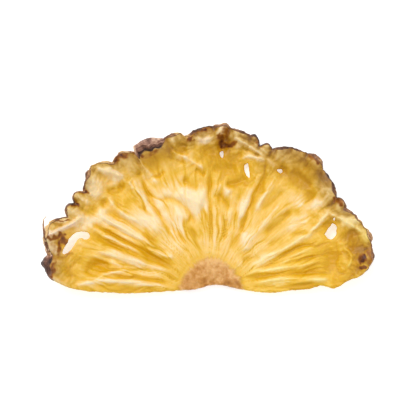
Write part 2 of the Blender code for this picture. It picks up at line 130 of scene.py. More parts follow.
# The larger folds, each along a curve through three places: (angle and share at its start,
# its middle and its end, height, half width). A height below 0 is a groove.
FOLDS = (
    (180.0, 0.84, 174.8, 0.56, 178.0, 0.21, 0.8, 1.1),
    (174.0, 0.76, 168.5, 0.71, 165.5, 0.6, -0.75, 1.7),
    (158.0, 0.4, 160.5, 0.58, 161.0, 0.76, 0.55, 2.2),
    (153.4, 0.8, 155.6, 0.6, 151.8, 0.25, -0.6, 1.0),
    (151.0, 0.86, 150.9, 0.58, 150.7, 0.24, -0.65, 0.8),
    (146.5, 0.84, 145.6, 0.64, 142.5, 0.36, 0.7, 1.2),
    (143.5, 0.8, 142.0, 0.68, 140.5, 0.52, -0.5, 1.1),
    (139.5, 0.76, 135.0, 0.62, 130.0, 0.42, 0.8, 3.0),
    (122.2, 0.72, 124.6, 0.54, 115.5, 0.25, -0.55, 1.0),
    (121.5, 0.86, 122.8, 0.73, 123.8, 0.58, -0.6, 1.2),
    (120.5, 0.62, 110.0, 0.555, 103.0, 0.37, -0.75, 1.2),
    (109.0, 0.64, 103.0, 0.56, 94.0, 0.51, 0.9, 3.4),
    (117.0, 0.51, 112.0, 0.48, 107.0, 0.44, 0.5, 2.2),
    (103.5, 0.84, 98.0, 0.775, 93.5, 0.73, 0.55, 1.0),
    (105.0, 0.7, 101.0, 0.64, 97.0, 0.61, -0.5, 1.3),
    (91.2, 0.74, 90.6, 0.5, 91.2, 0.24, -0.55, 0.9),
    (90.0, 0.56, 83.0, 0.555, 76.5, 0.47, -0.55, 1.2),
    (86.5, 0.645, 82.5, 0.615, 78.0, 0.585, 0.55, 1.8),
    (83.0, 0.645, 76.5, 0.66, 72.0, 0.715, -0.7, 1.2),
    (90.0, 0.74, 84.0, 0.73, 77.5, 0.75, -0.6, 1.8),
    (64.6, 0.8, 64.4, 0.52, 61.5, 0.24, -0.7, 1.0),
    (69.0, 0.68, 68.0, 0.58, 67.5, 0.44, 0.5, 2.2),
    (54.0, 0.75, 54.8, 0.65, 58.0, 0.56, -0.5, 1.1),
    (47.0, 0.7, 50.0, 0.53, 55.5, 0.3, 0.5, 1.0),
    (45.0, 0.68, 44.0, 0.58, 46.5, 0.45, -0.5, 1.1),
    (61.0, 0.41, 56.0, 0.355, 46.0, 0.31, 0.55, 1.9),
    (43.0, 0.25, 38.0, 0.3, 32.0, 0.36, -0.4, 1.0),
    (33.5, 0.86, 29.5, 0.6, 29.8, 0.28, 0.5, 0.9),
    (25.5, 0.68, 24.7, 0.47, 18.5, 0.24, -0.6, 1.0),
    (15.3, 0.69, 16.0, 0.48, 25.0, 0.21, 0.45, 0.9),
    (57.0, 0.845, 51.0, 0.86, 45.0, 0.85, -0.6, 1.7),
    (10.9, 0.68, 10.9, 0.47, 17.0, 0.21, -0.6, 1.1),
    (4.0, 0.72, 7.6, 0.48, 8.6, 0.24, 0.6, 1.1),
    (5.0, 0.64, 2.8, 0.52, 2.0, 0.38, -0.25, 1.5),
    (163.2, 1.085, 157.8, 0.958, 150.0, 0.882, 1.2, 0.65),
    (137.0, 0.87, 133.5, 0.835, 129.5, 0.81, -0.6, 1.2),
    (134.0, 1.02, 131.0, 0.93, 127.5, 0.85, 0.7, 1.1),
    (82.5, 0.935, 72.5, 0.882, 62.0, 0.832, 0.7, 0.75),
    (34.0, 0.83, 27.0, 0.9, 20.0, 0.97, 0.6, 0.8),
    (22.0, 0.96, 21.3, 0.88, 20.5, 0.81, -0.35, 1.7),
)
FOLD_STEPS = 16  # straight stretches that stand for a fold's curve
FOLD_TAPER = 0.2  # the share of a fold's length over which each end fades

# Pits left by the eyes of the fruit: (angle, share, depth, radius)
EYE_PITS = (
    (172.5, 0.87, 0.6, 2.0),
    (167.5, 0.69, 0.9, 3.0),
    (163.0, 0.95, 0.9, 1.7),
    (146.0, 0.86, 0.7, 1.9),
    (141.0, 0.83, 0.7, 1.4),
    (115.3, 0.8, 0.9, 2.6),
    (102.0, 0.86, 0.6, 2.4),
    (91.8, 0.84, 0.7, 1.5),
    (85.0, 0.88, 2.2, 1.9),
    (78.0, 0.83, 0.7, 2.2),
    (59.0, 0.84, 0.8, 1.6),
    (43.0, 0.81, 0.7, 1.6),
    (29.5, 0.8, 0.8, 1.6),
    (15.5, 0.75, 0.9, 2.4),
    (10.5, 0.72, 0.8, 2.0),
)

# The long hole at the left, along its middle: (angle, share, half width)
SLIT = (
    (166.9, 0.918, 0.95),
    (165.4, 0.9, 1.2),
    (163.4, 0.888, 1.25),
    (160.7, 0.879, 1.35),
    (158.4, 0.869, 1.3),
    (157.2, 0.842, 1.25),
    (156.9, 0.812, 1.45),
    (156.7, 0.788, 1.3),
)
SLIT_STEPS = 80
SLIT_SEEDS = (94, 93)  # for the unevenness of its outer side and its inner one
# Other holes where the sheet dried right through: (angle, share, half length, half width, tilt
# of its long axis in degrees, bend)
HOLES = (
    (85.5, 0.82, 1.3, 0.8, -75.0, 0.0),
    (73.1, 0.753, 2.5, 0.9, -76.0, 0.12),
    (59.9, 0.827, 1.0, 0.9, 20.0, 0.0),
    (29.7, 0.852, 0.8, 0.5, 80.0, 0.0),
    (25.5, 0.8, 2.3, 1.8, 50.0, 0.1),
)
HOLE_TAPER = 2.2  # how far from a hole the sheet thins

# ---- What is too fine for the solid ----
SPACING = 0.315  # between neighbouring points of the fine sheet
WALL_ROWS = 8  # strips in the sheet's side
LEAST_THICKNESS = 0.45  # of the fine sheet
HOLE_SPACING = 0.8 * SPACING  # between the points of a hole's edge
POINT_CLEARANCE = 0.66  # the least from a point to an edge of the plan, as a share of the spacing
FOLD_CREASE = 0.4  # the share of its height that a fold gains in a sharp crease
UNDER_RELIEF = 0.75  # how much of the upper face's fine relief the underside shows
CORE_EDGE = (0.7, 1.1)  # how far out and how far in the core's edge spreads
GROOVE_OUTSIDE = 0.4  # how far outside the core the groove round it lies
GROOVE_DEPTH = 0.12
GROOVE_WIDTH = 0.7
RIND_RANGE = (0.93, 0.97)  # the shares of the radius between which the side turns to rind
HOLE_SIDE = 0.05  # a point this near to a hole is on its side, which has no rind
FLAKE_ANGLE = 112.5  # the middle of the flake of rind at the top left, in degrees
# Where the rind flaked: (where that starts in degrees, where it is whole, where it starts to
# fade, where it ends, how strong it is)
FLAKES = (
    (106.0, 110.5, 118.4, 119.6, 1.0),
    (163.0, 167.0, 174.0, 178.0, 0.35),
)
# Where the rim stayed smoother: (angle, half width, power of its falling off, how much)
SMOOTH_SPOTS = (
    (51.0, 9.0, 2, 0.6),
    (FLAKE_ANGLE, 6.0, 4, 0.9),
)
RAGGED_FADE = 4.0  # how far from its ends the cut grows wavy and ragged

# Folds that the solid goes without, each in the same terms as its own
SMALL_FOLDS = (
    (170.0, 0.26, 171.0, 0.42, 172.5, 0.62, -0.45, 0.9),
    (166.5, 0.5, 170.5, 0.6, 175.5, 0.71, 0.45, 0.6),
    (165.5, 0.54, 165.0, 0.64, 163.8, 0.76, 0.4, 0.6),
    (153.6, 0.74, 153.0, 0.62, 152.0, 0.44, 0.5, 0.7),
    (147.8, 0.48, 145.0, 0.36, 138.0, 0.295, 0.55, 0.8),
    (157.0, 0.7, 159.0, 0.48, 156.3, 0.22, 0.35, 0.8),
    (165.8, 0.63, 165.6, 0.52, 166.0, 0.36, -0.3, 0.7),
    (147.5, 0.8, 147.5, 0.66, 146.0, 0.5, -0.45, 0.7),
    (138.0, 0.84, 139.5, 0.72, 137.5, 0.6, 0.45, 0.7),
    (130.5, 0.74, 129.5, 0.64, 128.5, 0.54, -0.4, 0.7),
    (128.5, 0.86, 127.0, 0.75, 125.2, 0.64, 0.5, 0.8),
    (119.5, 0.89, 118.0, 0.8, 116.5, 0.7, 0.5, 0.8),
    (118.5, 0.78, 115.0, 0.755, 111.5, 0.78, -0.5, 0.6),
    (97.5, 0.74, 95.0, 0.71, 92.5, 0.69, -0.5, 0.8),
    (106.5, 0.87, 103.0, 0.83, 99.5, 0.8, 0.45, 0.6),
    (108.5, 0.84, 104.5, 0.8, 101.0, 0.77, -0.35, 0.7),
    (97.0, 0.935, 92.5, 0.9, 88.5, 0.94, 0.6, 1.2),
    (87.5, 0.93, 86.0, 0.98, 84.6, 1.01, 1.0, 0.7),
    (84.2, 1.0, 84.0, 0.95, 85.0, 0.9, -1.1, 0.8),
    (81.0, 0.95, 76.0, 0.94, 69.0, 0.93, -0.3, 0.8),
    (78.5, 0.79, 73.5, 0.835, 66.5, 0.838, 0.5, 0.6),
    (79.0, 0.875, 72.0, 0.862, 65.5, 0.858, -0.3, 0.5),
    (74.5, 0.93, 70.0, 0.902, 66.5, 0.88, 0.25, 0.45),
    (79.0, 0.44, 77.0, 0.38, 75.0, 0.3, -0.35, 0.7),
    (72.5, 0.62, 73.5, 0.5, 72.5, 0.34, -0.4, 0.8),
    (60.0, 0.76, 60.5, 0.66, 61.5, 0.52, 0.5, 0.8),
    (51.0, 0.66, 51.5, 0.58, 52.5, 0.48, 0.45, 0.7),
    (43.5, 0.93, 42.0, 0.88, 40.5, 0.8, 0.25, 0.8),
    (39.5, 0.93, 38.3, 0.84, 40.5, 0.74, 0.25, 0.8),
    (36.0, 0.95, 35.3, 0.88, 36.2, 0.78, -0.35, 0.7),
    (36.5, 0.62, 36.0, 0.52, 38.0, 0.42, -0.35, 0.8),
    (33.5, 0.85, 31.2, 0.75, 28.0, 0.63, 0.5, 0.7),
    (19.0, 0.99, 20.0, 0.91, 18.3, 0.82, 0.3, 0.8),
    (17.6, 0.82, 13.0, 0.86, 7.5, 0.8, 0.5, 0.5),
    (9.5, 0.44, 9.0, 0.37, 7.0, 0.27, 0.25, 1.0),
    (5.3, 0.72, 4.8, 0.6, 4.6, 0.46, 0.5, 0.7),
    (151.4, 0.78, 150.2, 0.54, 149.6, 0.27, -0.3, 0.4),
    (163.5, 0.69, 162.8, 0.6, 163.3, 0.51, -0.25, 0.45),
    (172.0, 0.47, 171.4, 0.38, 171.2, 0.23, -0.2, 0.45),
    (173.0, 0.7, 170.4, 0.58, 170.0, 0.43, 0.4, 0.6),
    (140.0, 0.56, 141.0, 0.45, 140.0, 0.33, -0.3, 0.45),
    (125.0, 0.64, 125.6, 0.5, 127.5, 0.33, -0.4, 0.6),
    (21.0, 0.62, 21.8, 0.46, 25.0, 0.27, -0.4, 0.4),
    (17.8, 0.68, 18.8, 0.53, 21.0, 0.32, -0.4, 0.4),
    (22.5, 0.72, 22.3, 0.58, 20.0, 0.42, 0.3, 0.6),
    (7.0, 0.74, 9.0, 0.62, 9.8, 0.48, -0.35, 0.4),
)

# Layers of fine pleats that run out from the core: (degrees between them, millimetres along
# one, height, seed)
PLEATS = (
    (7.5, 18.0, 0.15, 21),
    (4.1, 13.0, 0.12, 22),
    (2.1, 8.0, 0.1, 23),
    (1.1, 6.0, 0.06, 24),
)
# Layers of thin creases that run out from the core: (degrees between them, millimetres along
# one, depth, width as a share of the space between, seed)
FIBRES = (
    (8.0, 30.0, 0.26, 0.09, 71),
    (5.0, 22.0, 0.21, 0.11, 72),
    (3.1, 16.0, 0.16, 0.13, 73),
)
# Layers of puckers across the rim: (millimetres between them, millimetres along one, height,
# seed)
PUCKERS = (
    (4.6, 7.0, 0.22, 16),
    (2.1, 4.0, 0.18, 17),
)
# Layers of relief on the rind's side: (millimetres between furrows, bumps down the side,
# height, seed)
BARK = (
    (2.7, 2.3, 0.45, 61),
    (1.1, 2.0, 0.3, 62),
)
# Layers of noise: (how far apart its bumps are, height, seed)
CRIMPS = ((2.9, 0.45, 31), (1.3, 0.28, 32))  # in the rim's edge
RAGGED_CUT = ((1.7, 0.16, 33), (0.7, 0.1, 34))
CORE_RAGGED = ((9.0, 0.6, 51), (3.5, 0.5, 52), (1.7, 0.35, 55))  # round the core, in degrees
CORE_GRAIN = ((1.3, 0.16, 53), (0.6, 0.12, 54))
FAN_WANDER = ((11.0, 1.7, 11), (4.0, 0.6, 12))  # of the pleats, from straight
STAIN_AND_SHADE_WANDER = (((2.2, 0.9, 82), (0.9, 0.3, 89)), ((2.2, 0.9, 88), (0.9, 0.3, 90)))  # X and Y
# Layers of crumpling that run no one way: (millimetres between creases, millimetres along one,
# height, seed)
CRUMPLES = (
    (6.0, 6.0, 0.34, 41),
    (3.1, 3.1, 0.22, 42),
    (1.6, 1.6, 0.17, 43),
    (0.85, 0.85, 0.09, 44),
)

# ---- Where the colours vary, painted highlights and painted shade among them ----
# Patches where the flesh is paler or deeper amber, partly its own tone and partly painted
# highlight and painted shade: (angle, share, how far it reaches across the way out from the core,
# how far along it, how much paler)
TINTS_AND_PAINTED_LIGHT = (
    (180.0, 0.48, 3.0, 8.0, -0.35),
    (177.5, 0.7, 1.2, 4.0, 0.3),
    (174.5, 0.5, 1.5, 6.0, 0.4),
    (174.0, 0.83, 3.5, 2.5, -0.45),
    (171.5, 0.42, 1.2, 4.0, -0.25),
    (168.0, 0.68, 2.4, 3.0, -0.45),
    (166.0, 0.82, 1.8, 2.2, -0.45),
    (165.0, 0.44, 1.6, 6.0, 0.45),
    (165.0, 0.27, 6.0, 2.4, -0.2),
    (163.5, 0.64, 1.6, 5.0, 0.3),
    (160.5, 0.55, 2.0, 6.0, 0.15),
    (156.0, 0.7, 1.8, 4.5, -0.5),
    (154.0, 0.88, 3.4, 2.4, 0.6),
    (154.0, 0.975, 1.5, 1.0, 0.5),
    (150.3, 0.6, 1.0, 10.0, -0.4),
    (150.0, 0.38, 2.0, 4.0, -0.4),
    (146.5, 0.78, 4.0, 3.0, 0.2),
    (146.0, 0.34, 2.6, 5.0, -0.25),
    (145.5, 0.66, 2.8, 5.5, 0.8),
    (143.0, 0.86, 4.0, 1.2, -0.2),
    (140.5, 0.93, 3.0, 3.5, 0.7),
    (139.0, 0.84, 3.0, 1.2, -0.2),
    (138.0, 0.36, 3.5, 3.5, 0.4),
    (134.5, 0.735, 3.5, 2.0, -0.45),
    (134.0, 0.57, 4.5, 4.0, 0.5),
    (134.0, 0.93, 4.0, 2.2, 0.2),
    (133.0, 0.82, 4.0, 1.5, -0.5),
    (130.5, 0.875, 1.8, 1.5, 0.8),
    (124.0, 0.66, 3.0, 3.5, 0.25),
    (122.0, 0.48, 3.0, 5.5, 0.45),
    (116.0, 0.57, 4.0, 1.2, -0.25),
    (115.0, 0.65, 2.6, 2.4, 0.3),
    (114.0, 0.42, 3.0, 2.8, 0.5),
    (112.0, 0.86, 8.0, 1.4, -0.5),
    (110.0, 0.74, 6.0, 2.0, -0.25),
    (107.0, 0.38, 4.0, 2.5, -0.3),
    (104.0, 0.57, 4.5, 5.0, 0.8),
    (102.0, 0.89, 4.0, 1.5, -0.35),
    (98.0, 0.66, 3.5, 2.6, -0.4),
    (96.0, 0.52, 3.5, 3.0, 0.55),
    (92.5, 0.895, 2.4, 1.0, 0.5),
    (92.0, 0.84, 4.0, 2.5, -0.3),
    (90.5, 0.45, 0.9, 8.0, -0.25),
    (85.0, 0.3, 4.0, 2.5, 0.25),
    (84.0, 0.79, 6.0, 3.5, -0.9),
    (82.0, 0.54, 4.0, 1.2, -0.25),
    (81.0, 0.6, 2.5, 1.4, 0.3),
    (76.0, 0.68, 5.0, 3.5, -0.6),
    (75.0, 0.52, 3.0, 2.5, 0.2),
    (74.5, 0.83, 4.0, 1.8, 0.25),
    (70.0, 0.33, 4.5, 2.8, -0.3),
    (67.5, 0.54, 3.0, 3.0, 0.35),
    (66.0, 0.64, 2.0, 3.0, 0.35),
    (66.0, 0.84, 4.0, 0.8, 0.3),
    (63.5, 0.6, 1.2, 7.0, -0.2),
    (62.0, 0.85, 2.0, 1.2, 0.2),
    (58.0, 0.36, 4.0, 4.0, 0.4),
    (57.0, 0.68, 1.2, 4.0, -0.25),
    (52.5, 0.84, 6.0, 2.2, -0.75),
    (52.0, 0.95, 6.0, 1.6, -0.4),
    (48.5, 0.64, 1.0, 3.0, -0.2),
    (45.5, 0.52, 2.2, 5.0, -0.35),
    (45.0, 0.4, 2.5, 2.0, 0.2),
    (45.0, 0.745, 3.0, 2.0, 0.45),
    (44.0, 0.28, 3.5, 1.6, -0.2),
    (43.5, 0.835, 2.2, 1.5, -0.3),
    (43.0, 0.9, 2.6, 1.2, 0.3),
    (38.5, 0.82, 2.0, 1.8, 0.8),
    (37.0, 0.62, 3.4, 5.0, 0.4),
    (36.0, 0.7, 1.6, 2.0, 0.3),
    (35.0, 0.5, 1.6, 9.0, -0.3),
    (34.0, 0.86, 2.0, 2.5, -0.4),
    (33.5, 0.825, 2.2, 2.2, 0.3),
    (33.0, 0.74, 1.6, 4.0, -0.2),
    (29.5, 0.82, 1.2, 3.0, -0.35),
    (27.0, 0.36, 2.2, 4.5, 0.7),
    (26.5, 0.5, 1.2, 4.0, -0.3),
    (25.5, 0.89, 2.0, 2.0, 0.35),
    (21.5, 0.885, 2.6, 1.8, -0.6),
    (21.5, 0.72, 2.2, 4.0, -0.3),
    (20.0, 0.93, 1.5, 2.5, -0.25),
    (14.0, 0.32, 2.4, 3.5, -0.4),
    (14.0, 0.68, 5.5, 7.5, -0.55),
    (14.0, 0.89, 5.0, 2.5, -0.3),
    (12.0, 0.83, 3.0, 0.9, 0.15),
    (7.0, 0.41, 1.4, 3.5, 0.7),
    (5.0, 0.62, 1.6, 4.0, 0.25),
    (5.0, 0.8, 3.0, 3.0, -0.2),
    (4.0, 0.53, 2.0, 4.0, -0.8),
)
# Stretches where the flesh next to the rim darkens, partly browning and partly painted shade:
# (first angle, last angle, how much)
BROWNING_AND_SHADE = (
    (-5.0, 22.0, 0.45),
    (47.0, 70.0, 0.55),
    (80.0, 90.0, 0.6),
    (104.0, 125.0, 0.6),
    (161.0, 185.0, 0.25),
)
BROWNING_AND_SHADE_ALL_ROUND = 0.3  # and how much it darkens everywhere, from browning and painted shade
# Brown stains, and painted shade in the rim's creases, in the pocket at the top and under the
# ridge at the left, each along a curve through three places as the folds are: (angle and share
# at its start, its middle and its end, how dark, half width)
STAINS_AND_SHADE = (
    (163.4, 1.09, 161.4, 0.985, 158.4, 0.915, 0.62, 0.7),
    (160.5, 0.965, 162.0, 0.925, 162.4, 0.885, 0.7, 0.8),
    (158.6, 0.935, 163.4, 0.953, 168.6, 0.915, 0.6, 0.8),
    (157.4, 1.05, 155.4, 0.99, 153.0, 0.935, 0.6, 0.4),
    (148.6, 1.0, 148.0, 0.965, 146.6, 0.945, 1.0, 0.7),
    (143.6, 1.0, 142.9, 0.97, 141.2, 0.95, 0.8, 0.6),
    (179.0, 0.975, 174.5, 0.972, 169.0, 0.99, 0.8, 1.2),
    (168.5, 0.93, 166.8, 0.885, 165.4, 0.845, 0.3, 0.9),
    (171.0, 0.96, 166.8, 0.985, 162.6, 1.02, 0.28, 1.9),
    (128.5, 0.97, 125.0, 0.98, 121.0, 0.955, 0.8, 1.0),
    (119.0, 0.885, 113.5, 0.905, 108.0, 0.9, 0.35, 1.2),
    (119.5, 0.955, 118.6, 0.93, 117.0, 0.905, 0.7, 0.7),
    (98.0, 0.95, 94.0, 0.97, 89.5, 0.965, 0.8, 0.9),
    (99.6, 0.925, 98.0, 0.93, 96.4, 0.935, 0.7, 0.8),
    (84.8, 1.03, 84.4, 0.96, 84.2, 0.88, 0.42, 1.5),
    (87.2, 0.95, 86.0, 0.9, 84.7, 0.835, 0.72, 1.0),
    (88.0, 0.89, 83.8, 0.882, 79.2, 0.9, 0.75, 0.65),
    (72.8, 0.95, 71.5, 0.93, 70.5, 0.915, 0.6, 0.7),
    (54.5, 1.0, 51.5, 1.015, 48.5, 1.0, 0.6, 0.9),
    (37.5, 0.94, 36.0, 0.925, 34.8, 0.91, 0.6, 0.8),
    (36.0, 0.945, 33.8, 0.94, 31.6, 0.935, 0.62, 1.0),
    (25.0, 0.9, 21.6, 0.89, 18.0, 0.87, 0.14, 2.0),
    (13.0, 0.95, 11.2, 0.935, 9.6, 0.93, 1.0, 1.3),
    (9.0, 0.93, 8.2, 0.92, 7.2, 0.915, 0.9, 1.0),
    (15.5, 0.98, 11.0, 0.985, 7.0, 0.955, 0.4, 1.5),
    (170.0, 0.15, 130.0, 0.06, 30.0, 0.08, 0.28, 0.9),
    (40.0, 0.07, 20.0, 0.12, 8.0, 0.19, 0.34, 0.9),
)
# Painted highlights along crests, almost white: (a curve as the folds', how much paler, half width)
PAINTED_CREST_HIGHLIGHTS = (
    (163.6, 1.095, 157.8, 0.958, 149.0, 0.875, 0.9, 0.65),
    (155.0, 0.865, 152.0, 0.835, 148.0, 0.8, 0.5, 1.2),
    (97.0, 0.88, 93.5, 0.89, 89.5, 0.905, 0.5, 0.9),
    (78.5, 0.79, 73.5, 0.835, 66.5, 0.838, 0.35, 0.6),
    (72.0, 0.882, 68.5, 0.872, 65.0, 0.85, 0.3, 0.6),
    (33.0, 0.84, 27.5, 0.918, 19.5, 1.0, 0.25, 0.55),
    (33.5, 0.85, 31.2, 0.75, 28.0, 0.63, 0.2, 0.7),
    (180.0, 0.84, 174.8, 0.56, 178.0, 0.21, 0.35, 0.7),
)
# Painted highlights along crests, whiter still, with no yellow left
PAINTED_WHITE_HIGHLIGHTS = (
    (163.8, 1.1, 158.2, 0.963, 152.6, 0.9, 1.0, 0.55),
    (94.5, 0.893, 92.5, 0.902, 90.0, 0.91, 0.5, 0.9),
)
# Stretches where the flesh right at the rim darkens, partly toasting and partly painted shade:
# (first angle, last angle, how much)
TOAST_AND_SHADE = (
    (27.5, 35.5, 0.6),
    (39.5, 45.0, 0.5),
    (60.0, 66.5, 0.5),
    (71.0, 77.0, 0.7),
    (90.5, 97.0, 0.9),
    (120.5, 127.5, 0.7),
    (138.0, 142.0, 0.4),
    (168.0, 185.0, 0.8),
)
TOAST_AND_SHADE_WIDTH = 0.06  # how far in from the rim it reaches, as a share of the radius
# Stretches of paler rind, and below 0 of darker: (first angle, last angle, how much)
RIND_TONE = (
    (9.5, 12.5, -0.2),  # beside the dark spots at the right
    (16.0, 27.0, 0.4),  # the worn shoulder at the right
    (42.0, 46.0, -0.5),  # the notch below the upper right corner
    (61.0, 66.5, -0.2),
    (71.0, 81.5, -0.25),
    (82.5, 88.0, 0.2),  # the chip at the top
    (91.0, 97.5, -0.2),
    (138.0, 142.0, -0.35),  # the first notch at the left
    (148.0, 150.0, -0.3),  # the second
    (151.0, 154.5, 0.4),
    (157.0, 168.0, 0.45),  # under the strand
    (169.0, 174.5, -0.45),  # the dark lump at the left
)
STRETCH_ENDS = 1.5  # how many degrees past its ends a stretch takes to fade

# ---- Small shapes on the rim ----
# Nubs and sunken spots: (angle, share, height, radius)
NUBS = (
    (98.0, 0.93, 0.5, 1.0),
    (85.0, 0.888, -0.6, 1.8),
    (51.0, 1.01, 0.4, 1.5),
    (33.5, 0.95, 0.4, 1.4),
    (11.2, 0.935, 0.7, 1.2),
    (8.2, 0.92, 0.6, 1.0),
)
# The strand of rind that peeled off the rim at the left: (angle, share, height above the rim,
# radius)
STRAND = (
    (168.5, 0.985, -0.5, 0.5),
    (165.5, 1.01, -0.1, 0.45),
    (163.0, 1.032, 0.1, 0.4),
    (160.8, 1.054, 0.2, 0.3),
    (159.0, 1.072, 0.2, 0.22),
    (157.5, 1.082, 0.1, 0.15),
    (156.0, 1.074, -0.1, 0.06),
)
STRAND_SIDES = 8
STRAND_RINGS = 6 * len(STRAND)

# ---- Colours along a ramp: (where, red, green, blue), as the eye sees them ----
FLESH_COLOURS = (
    (0.02, 218, 164, 0),
    (0.25, 231, 181, 38),
    (0.5, 241, 197, 92),
    (0.72, 248, 211, 137),
    (0.98, 252, 228, 182),
)
# For flesh next to the rim: browning, with painted shade
BROWNED_AND_SHADED_COLOURS = (
    (0.02, 172, 116, 0),
    (0.3, 198, 146, 10),
    (0.55, 212, 164, 54),
    (0.98, 232, 194, 118),
)
RIM_COLOURS = (
    (0.05, 118, 72, 10),
    (0.3, 168, 120, 36),
    (0.5, 200, 158, 76),
    (0.7, 222, 188, 118),
    (0.95, 242, 218, 170),
)
CORE_COLOURS = ((0.05, 156, 88, 12), (0.5, 203, 140, 60), (0.95, 232, 180, 112))
# Brown stains, which also paint shade in creases and the pocket
STAIN_AND_SHADE_COLOURS = ((0.0, 200, 140, 44), (0.45, 158, 94, 14), (0.9, 88, 38, 4))
BARK_COLOURS = (
    (0.15, 58, 32, 22),
    (0.4, 112, 70, 50),
    (0.55, 150, 106, 86),
    (0.7, 188, 144, 118),
    (0.9, 228, 194, 160),
)
# Tints that colours are multiplied by, and where round the slice the first two fade: the look
# "angle" runs from 0 at the right to 1 at the left
GOLDEN = (1.0, 1.0, 0.66, 1.0)
GOLDEN_RANGE = (0.08, 0.24)
AMBER = (1.0, 0.96, 0.58, 1.0)
AMBER_RANGE = (0.09, 0.13)
BROWNISH = (1.0, 0.95, 0.6, 1.0)
BUMP_DISTANCE = 0.0002  # metres

# ---- The studio, in metres ----
FLOOR_REACH = 2.0
FLOOR_LEVEL = -0.0001
CAMERA_LENS = 180.0
CAMERA_ELEVATION = math.radians(86.0)
CAMERA_DISTANCE = 0.60
CAMERA_TARGET = (0.0, 0.0, 0.004)


def smoothstep(low, high, x):
    t = np.clip((x - low) / (high - low), 0.0, 1.0)
    return t * t * (3.0 - 2.0 * t)


def bell(away, width, power=2):
    """1 where `away` is 0, falling off smoothly past a width."""
    return np.exp(-((away / width) ** power))


def noise(x, y, seed):
    """Smooth noise from about -1 to 1, with bumps about one unit apart."""
    size = 128
    turn = np.random.default_rng(seed).uniform(0.0, 2.0 * math.pi, (size, size))
    column, row = np.floor(x).astype(int), np.floor(y).astype(int)
    u, v = x - column, y - row

    def corner(i, j):
        slope = turn[(column + i) % size, (row + j) % size]
        return np.cos(slope) * (u - i) + np.sin(slope) * (v - j)

    ease_u = u * u * u * (u * (6.0 * u - 15.0) + 10.0)
    ease_v = v * v * v * (v * (6.0 * v - 15.0) + 10.0)
    low = corner(0, 0) * (1.0 - ease_u) + corner(1, 0) * ease_u
    high = corner(0, 1) * (1.0 - ease_u) + corner(1, 1) * ease_u
    return 1.5 * (low * (1.0 - ease_v) + high * ease_v)


def noises(x, y, layers):
    """Layers of noise: (how far apart its bumps are, height, seed)."""
    return sum(height * noise(x / apart, y / apart, seed) for apart, height, seed in layers)


def billow(x, y, seed):
    """Noise with rounded crests and sharp valleys between them, averaging about 0."""
    return 2.0 * np.abs(noise(x, y, seed)) - 0.5


def billows(across, along, layers):
    """Layers of crests: (how far apart they are, how long they are, height, seed)."""
    return sum(
        height * billow(across / apart, along / run, seed) for apart, run, height, seed in layers
    )


def polar(x, y):
    """Angle in degrees, from the right end of the cut, and distance from the core's centre."""
    angle = np.degrees(np.arctan2(y, x))
    return np.where(angle < -90.0, angle + 360.0, angle), np.hypot(x, y)


def place(angle, share):
    """The point of the plan at an angle and a share of the ring's radius."""
    turn = np.radians(angle)
    distance = share * RING_RADIUS
    return np.column_stack([distance * np.cos(turn), distance * np.sin(turn)])


def rim_arc(angle):
    """How far along the rim each angle is."""
    return np.radians(angle) * RING_RADIUS


def lobe_at(angle):
    """The lobe that each angle lies in: its row, the next one's, and how far across it is."""
    lobes = np.array(RIM_LOBES)
    index = np.clip(np.searchsorted(lobes[:, 0], angle, side="right") - 1, 0, len(lobes) - 2)
    first, second = lobes[index], lobes[index + 1]
    across = (angle - first[..., 0]) / (second[..., 0] - first[..., 0])
    return first, second, np.clip(across, 0.0, 1.0)


def rim_radius(angle):
    """The lobed rim: each lobe is an arch between its two ends."""
    first, second, t = lobe_at(angle)
    arch = first[..., 2] * np.power(np.clip(4.0 * t * (1.0 - t), 0.0, 1.0), 0.75)
    return first[..., 1] * (1.0 - t) + second[..., 1] * t + arch


def rim_lean(angle):
    """How far the rind leans in over the flesh."""
    first, _, t = lobe_at(angle)
    wander = noise(np.radians(angle) * 24.0, 0 * angle, 19)
    return first[..., 3] * np.sin(math.pi * t) ** 0.5 * (1.0 + 0.35 * wander)


def tucks(angle):
    """How deep the crease between two lobes is at each angle, falling to 0 inside them."""
    lobes = np.array(RIM_LOBES)
    return (lobes[:, 5] * bell(angle[..., None] - lobes[:, 0], TUCK_WIDTH)).max(axis=-1)


def cut_edge(x):
    """The wavy cut: how far it strays from a straight line at each x."""
    stray = LEFT_SAG * smoothstep(*LEFT_SAG_RANGE, x) + WAVE_HEIGHT * np.sin(x / WAVE_LENGTH)
    for along, height, half_width in CUT_BUMPS:
        stray += height * bell(x - along, half_width)
    return stray


def crimp(angle):
    """How far the rim's edge strays from its lobes."""
    arc = rim_arc(angle)
    return noises(arc, 0.0 * arc, CRIMPS) * (1.0 - 0.85 * bell(angle - FLAKE_ANGLE, 5.5, 4))


def outline():
    """The slice's outline, anticlockwise from the right end of the cut."""
    angle = np.linspace(RIGHT_END, 180.0, 1801)
    from_end = np.minimum(angle - RIGHT_END, 180.0 - angle)
    cut = np.where(angle < 90.0, *CORNER_CUT)
    corner = 1.0 - cut * np.clip(1.0 - from_end / CORNER_ANGLE, 0.0, 1.0) ** 2
    arc = place(angle, (corner * rim_radius(angle) + crimp(angle)) / RING_RADIUS)
    left, (right, end_height) = arc[-1, 0], arc[0]
    x = np.linspace(left, right, 900)[1:-1]
    fade = smoothstep(0.0, RAGGED_FADE, np.minimum(x - left, right - x))
    rise = end_height * smoothstep(RISE_START, right, x)
    stray = cut_edge(x) + noises(x, 0.0 * x, RAGGED_CUT)
    return even_points(np.vstack([arc, np.column_stack([x, rise + stray * fade])]), SPACING)


